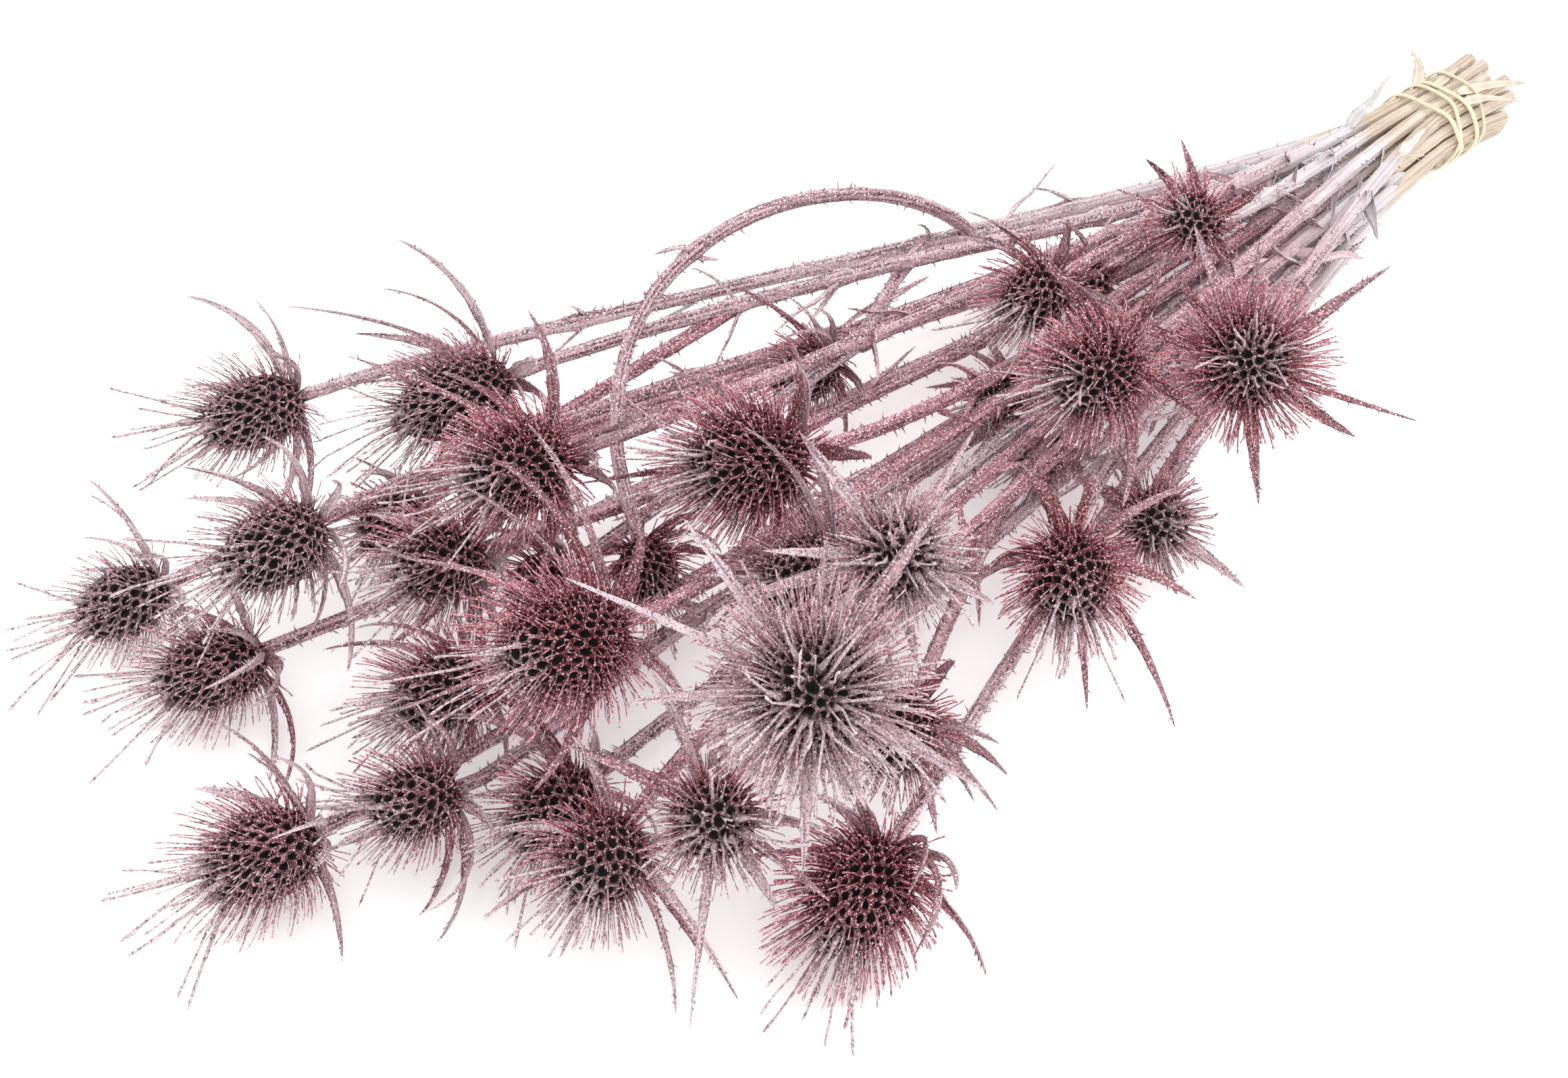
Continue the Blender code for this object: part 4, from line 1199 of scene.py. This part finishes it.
def add_cut_end(shape, middle, rim):
    """The cut face: a pale rim of wood round sunken pith."""
    out = np.array((0.6, 0, 0))
    lip = middle + (rim - middle) * 0.72 + out
    pith = middle + (rim - middle) * 0.5 - out
    points = np.vstack((rim, lip, pith, middle - out * 1.5))
    k = 2 * STEM_SIDES + np.arange(STEM_SIDES)
    face = np.stack((k, np.full(STEM_SIDES, 3 * STEM_SIDES), np.roll(k, -1)), axis=1)
    walls = np.roll(walls_between(3, STEM_SIDES)[:, ::-1], 1, axis=1)
    tones = np.repeat([(*STRAW, 0), (*CUT_WOOD, 0), (*PITH, 0)], STEM_SIDES, axis=0)
    shape.add(points, np.vstack((tones, [(*PITH, 0)])), (walls, face), STEM, False)


def add_stem_thorns(shape, points, walls, tones, chalk, draw):
    """Short thorns along the ribs, closer together towards the head."""
    count = len(points)
    share = np.linspace(0, 1, count)
    chance = THORN_CHANCE * (0.3 + 1.2 * share) * chalk
    rows = np.repeat(np.arange(count), 3)
    rows = rows[draw.uniform(0, 1, len(rows)) < chance[rows]]
    rows = rows[(rows > 2) & (rows < count - 3)]
    roots = walls[rows, 2 * draw.randint(0, STEM_SIDES // 2, len(rows))]
    out = unit(roots - points[rows])
    along = unit(np.gradient(points, axis=0))[rows]
    ways = unit(out + along * draw.uniform(-0.9, 0.1, (len(rows), 1)))
    sizes = draw.uniform(*THORN_LENGTH, len(rows))
    add_thorns(shape, roots, out, ways, along, sizes, THORN_HALF, tones[rows] * THORN_SHADE, STEM)


def add_leaf(shape, root, ways, circle, length, lowest, width, rng, tones, finish=STEM):
    """A dry leaf that goes from its root in even steps of those ways, kept off the floor."""
    line = np.cumsum(np.vstack((root, unit(ways) * length / LEAF_STEPS)), axis=0)
    line[:, 2] = np.maximum(line[:, 2], lowest)
    add_blade(shape, line, circle, length, 1.0, width, rng, tones, finish)


def add_scraps(shape, points, at, sides, ups, radius, tone, rng):
    """Dried remnants of the leaves that stood in a pair at a node."""
    along = unit(points[at] - points[at - 2])
    first = rng.uniform(0, 6)
    step = np.arange(LEAF_STEPS)[:, None]
    for k in range(2):
        angle = first + math.pi * k
        out = math.cos(angle) * sides[at] + math.sin(angle) * ups[at]
        length = rng.uniform(9, 26)
        lean = rng.uniform(0.4, 1.6) * rng.choice((-1, 1, 1))
        ways = out * (1 - 0.05 * step) + along * lean + step * (0, 0, -0.04)
        root = points[at] + out * radius * 0.7
        tones = (np.clip(tone * 0.8, 0, 1), np.clip(tone * rng.uniform(0.7, 1.1), 0, 1))
        width = rng.uniform(2.5, 5.0)
        add_leaf(shape, root, ways, np.cross(along, out), length, 1.0, width, rng, tones)


def add_remnants(shape, points, sides, ups, radii, tones, rng, counts, span, lengths, widths, leans):
    """Torn, crumpled leaf remnants along a span of a stalk."""
    step = np.arange(LEAF_STEPS)[:, None]
    for _ in range(rng.choice(counts)):
        place = -rng.uniform(*span)
        at = int(np.abs(points[:, 0] - place).argmin())
        if at > len(points) - 6:
            continue
        along = unit(points[at + 1] - points[at])
        angle = rng.uniform(0, 2 * math.pi)
        out = math.cos(angle) * sides[at] + math.sin(angle) * ups[at]
        length = rng.uniform(*lengths)
        lean = rng.uniform(*leans) * rng.choice((-1, 1))
        ways = out + along * lean + np.sin(0.9 * step + angle) * (0, 0, 0.5)
        root = points[at] + out * radii[at] * 0.6
        tone = np.clip(tones[at] * rng.uniform(0.8, 0.97), 0, 1)
        width = rng.uniform(*widths)
        add_leaf(shape, root, ways, np.cross(along, out), length, 1.5, width, rng, (tone, tone))


def add_husk(shape, slot, rng):
    """A dry straw leaf that lies on the cut ends and curls away beyond them."""
    length = rng.uniform(24, 36)
    side = rng.uniform(-0.3, 0.3) + slot[0] * 0.02
    curve = rng.uniform(-0.06, 0.03)
    root = np.array((rng.uniform(-4, 8), slot[0] + rng.uniform(-2, 2), slot[1] + STALK_RADIUS * 0.9))
    step = np.arange(LEAF_STEPS)
    ways = np.stack((1.0 - 0.04 * step, side * (1 + 0.2 * step), 0.12 + curve * step), axis=1)
    tone = np.array((*STRAW, 0)) * rng.uniform(0.85, 1.02)
    circle = np.array((0, 1.0, rng.uniform(-0.5, 0.5)))
    width = rng.uniform(5, 8)
    add_leaf(shape, root, ways, circle, length, 0, width, rng, (tone, tone * 0.95), DRY)


def make_stalk(number, stems):
    """A stalk with its branches, drawn as its solid draws its nodes and its cut end."""
    rng = random.Random(SEED + number)
    index = number - 1
    shape = Shape()
    for i, head in enumerate(HEADS):
        along = distance_along(stems[i])
        own = random.Random(SEED * 10 + i)
        if i == index:
            nodes = sorted(rng.uniform(*span) * along[-1] for span in NODE_SPANS)
            stub = stub_points(stems[i][0, 1:], rng)
            forks = [other.leaves for other in HEADS if other.stalk == number]
            nodes += [np.interp(-leaves, -stems[i][:, 0], along) - 4 for leaves in forks]
            add_stem(shape, i, stems[i], nodes, own, stub)
        elif head.stalk == number:
            add_stem(shape, i, stems[i], (BRANCH_NODE * along[-1],), own)
    slot = stems[index][0, 1:]
    if slot[1] > LOWEST_STALK + HUSK_ROW * ROW_HEIGHT:
        add_husk(shape, slot, rng)
    finishes = (stem_finish, straw_finish)
    shape.make(f"thorny_stalk_{number:02d}", finishes, f"stalk_{number:02d}")


# The tie


def strand_line(x, lean, slant, lift):
    """One winding round the bundle: the middle line of the strand, and the way off the stalks."""
    low, high = LOWEST_STALK, LOWEST_STALK + (len(STALK_ROWS) - 1) * ROW_HEIGHT
    wide = (STALK_ROWS[0] - 1) / 2 * STALK_PITCH
    widest = (max(STALK_ROWS) - 1) / 2 * STALK_PITCH
    middle = (low + high) / 2
    corners = ((wide, low, -90, -30), (widest, middle, -30, 30), (wide, high, 30, 90))
    corners += ((-wide, high, 90, 150), (-widest, middle, 150, 210), (-wide, low, 210, 270))
    places = []
    outs = []
    for y, z, start, stop in corners:
        for angle in np.radians(np.linspace(start, stop, 7)):
            out = np.array((0, math.cos(angle), math.sin(angle)))
            across = x - lean * math.cos(angle - math.pi / 4) + slant * math.sin(angle)
            places.append(np.array((across, y, z)) + out * (STALK_RADIUS + GAP + lift))
            outs.append(out)
    places, outs = (np.array(line + line[:1]) for line in (places, outs))
    along = distance_along(places)
    at = np.arange(0, along[-1], STRAND_STEP)
    places, outs = (read_at(line, along, at) for line in (places, outs))
    for _ in range(STRAND_PASSES):
        places = (np.roll(places, 1, axis=0) + 2 * places + np.roll(places, -1, axis=0)) / 4
        outs = (np.roll(outs, 1, axis=0) + 2 * outs + np.roll(outs, -1, axis=0)) / 4
    outs = unit(outs)
    return places + outs * STRAND_OUT, outs


def add_strand(shape, x, lean, slant, width, draw):
    """A flat split strand of cane, bent round the bundle."""
    places, outs = strand_line(x, lean, slant, STRAND_THICKNESS / 2 + 0.1)
    ways = unit(np.roll(places, -1, axis=0) - np.roll(places, 1, axis=0))
    across = unit(np.cross(ways, outs))
    count = len(places)
    angles = 2 * math.pi * np.arange(STRAND_CORNERS) / STRAND_CORNERS
    size = 1 + 0.05 * draw.normal(0, 1, (count, 1))
    wide = np.sign(np.cos(angles)) * np.abs(np.cos(angles)) ** 0.7 * width / 2 * size
    thick = np.sin(angles) * STRAND_THICKNESS / 2 * np.ones((count, 1))
    rings = places[:, None] + wide[..., None] * across[:, None] + thick[..., None] * outs[:, None]
    quads = walls_between(count + 1, STRAND_CORNERS) % (count * STRAND_CORNERS)
    tones = mix(CANE, CANE_SHADE, draw.uniform(0, 0.5, (count, STRAND_CORNERS)))
    tones = np.concatenate((tones, np.zeros((count, STRAND_CORNERS, 1))), axis=-1)
    shape.add(rings.reshape(-1, 3), tones.reshape(-1, 4), [quads])


def make_tie():
    """The windings of the tie, each of one strand or of two that cross."""
    draw = np.random.RandomState(SEED)
    for node, strands in STRANDS.items():
        shape = Shape()
        for strand in strands:
            add_strand(shape, *strand, draw)
        shape.make(node.replace("tie", "cane_tie"), (straw_finish,), node)


# Materials


def dull(name, roughness):
    """A new material, and its shader."""
    made = bpy.data.materials.new(name)
    made.use_nodes = True
    shader = made.node_tree.nodes["Principled BSDF"]
    shader.inputs["Roughness"].default_value = roughness
    return made, shader


def frosted(name, flecks, mottle, roughness, bump, grain, sparkle):
    """Dusty, matt stuff in each vertex's tone, with glitter, grime and painted glints by its alpha."""
    made, shader = dull(name, roughness)
    nodes, links = made.node_tree.nodes, made.node_tree.links

    def node(kind, inputs, **settings):
        """A new node's outputs. Each of its inputs is a value or another node's output."""
        added = nodes.new("ShaderNode" + kind)
        for setting, value in settings.items():
            setattr(added, setting, value)
        for socket, given in inputs.items():
            if isinstance(given, bpy.types.NodeSocket):
                links.new(given, added.inputs[socket])
            else:
                added.inputs[socket].default_value = given
        return added.outputs

    tone = node("Attribute", {}, attribute_name="tone")
    fibres = node("Attribute", {}, attribute_name="grain")["Vector"]
    place = node("TexCoord", {})["Object"]

    def ramp(value, low, high, stop):
        span = node("MapRange", {"Value": value, "From Min": low, "From Max": high, "To Max": stop})
        return node("Math", {0: span["Result"], 1: tone["Alpha"]}, operation="MULTIPLY")[0]

    def noise(vector, scale, detail):
        return node("TexNoise", {"Vector": vector, "Scale": scale, "Detail": detail})["Fac"]

    def blend(kind, factor, first, second):
        inputs = {"Factor": factor, "A": first, "B": (*second, 1)}
        return node("Mix", inputs, data_type="RGBA", blend_type=kind)["Result"]

    fine = noise(place, grain, 2)
    streaks = noise(fibres, grain * STREAK_GRAIN, 3)
    cells = node("TexVoronoi", {"Vector": place, "Scale": grain * GLINT_GRAIN})["Distance"]
    colour = blend("MULTIPLY", ramp(streaks, *STREAKS), tone["Color"], DARK_GRIME)
    colour = blend("MULTIPLY", ramp(fine, *SPOTS), colour, DARK_GRIME)
    colour = blend("MIX", ramp(fine, mottle, mottle + EDGE, MOST_FLECKS), colour, flecks)
    # Painted glints: bright specks at the cells' centres, for the glitter catching the light
    colour = blend("MIX", ramp(cells, sparkle, sparkle - EDGE, 1), colour, PAINTED_GLINT)
    bumps = node("Bump", {"Height": fine, "Strength": bump, "Distance": BUMP_DEPTH})
    links.new(colour, shader.inputs["Base Color"])
    links.new(bumps["Normal"], shader.inputs["Normal"])
    return made


# The room


def level_axes(back):
    """The right, up and back vectors of a camera or light with level sides."""
    right = unit(np.cross((0, 0, 1.0), back))
    return right, np.cross(back, right), back


def put(name, data, axes, place):
    """An object for a camera's or a light's data, at its place."""
    item = bpy.data.objects.new(name, data)
    rows = [(*(axis[k] for axis in axes), place[k]) for k in range(3)]
    item.matrix_world = Matrix(rows + [(0, 0, 0, 1)])
    bpy.context.scene.collection.objects.link(item)
    return item


def make_camera():
    """The camera looks down on the bunch from over the heads, with the cut ends at the far right."""
    down, round_turn = math.radians(CAMERA_DOWN), math.radians(CAMERA_TURN)
    level = math.cos(down)
    look = np.array((math.sin(round_turn) * level, math.cos(round_turn) * level, -math.sin(down)))
    axes = level_axes(-look)
    right, up, back = axes
    lens_px = CAMERA_LENS / CAMERA_SENSOR * PHOTO_WIDTH
    tie_right = (TIE_PX[0] - PHOTO_WIDTH / 2) / lens_px * TIE_DEPTH
    tie_up = (PHOTO_HEIGHT / 2 - TIE_PX[1]) / lens_px * TIE_DEPTH
    place = np.array(TIE_PLACE) + back * TIE_DEPTH - right * tie_right - up * tie_up + SHIFT
    data = bpy.data.cameras.new("camera")
    data.lens = CAMERA_LENS
    data.sensor_width = CAMERA_SENSOR
    data.sensor_fit = "HORIZONTAL"
    data.clip_start = 0.01
    bpy.context.scene.camera = put("camera", data, axes, place)


def make_room():
    """A white studio with three soft lights and a plain, pale floor."""
    scene = bpy.context.scene
    scene.view_settings.view_transform = "Standard"
    world = bpy.data.worlds.new("studio")
    world.use_nodes = True
    sky = world.node_tree.nodes["Background"]
    sky.inputs["Color"].default_value = WHITE
    sky.inputs["Strength"].default_value = 1.0
    scene.world = world
    for name, place, energy, size in LIGHTS:
        data = bpy.data.lights.new(name, "AREA")
        data.energy = energy
        data.size = size
        put(name, data, level_axes(unit(np.array(place))), place)
    mesh = bpy.data.meshes.new("floor")
    corners = [(x * FLOOR_HALF, y * FLOOR_HALF, 0) for x, y in ((-1, -1), (1, -1), (1, 1), (-1, 1))]
    mesh.from_pydata(corners, [], [(0, 1, 2, 3)])
    floor = bpy.data.objects.new("floor", mesh)
    paper, shader = dull("paper", PAPER_ROUGHNESS)
    shader.inputs["Base Color"].default_value = PAPER
    shader.inputs["Emission Color"].default_value = WHITE
    shader.inputs["Emission Strength"].default_value = PAPER_GLOW
    mesh.materials.append(paper)
    scene.collection.objects.link(floor)


tie_low, tie_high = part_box("tie_middle")
SHIFT = np.array(((tie_low.x + tie_high.x) / 2, (tie_low.y + tie_high.y) / 2, tie_low.z))

*head_finishes, stem_finish, straw_finish = (frosted(*row) for row in FINISHES)

make_camera()
make_room()

stems, centres = stem_lines()

# The solids' plans stay clear of the stalks' prickles and of what the heads before them have grown.
growing = stems_and_cores(stems, centres, PRICKLE / 2)
plans = [plan_head(number, centre, growing) for number, centre in enumerate(centres, 1)]

# The bristles stay clear of the stems, cores and bracts.
solid = stems_and_cores(stems, centres, 0)
for number, (bracts, _) in enumerate(plans, 1):
    for bract in bracts:
        solid.add(*bract_balls(bract, 1.4), BRACT_OWNERS + number)
for number, (head, centre, plan) in enumerate(zip(HEADS, centres, plans), 1):
    make_head(number, centre, plan, solid.near(centre, 1.5 * head.length + head.bristle, number))
for number in range(1, STALKS + 1):
    make_stalk(number, stems)
make_tie()
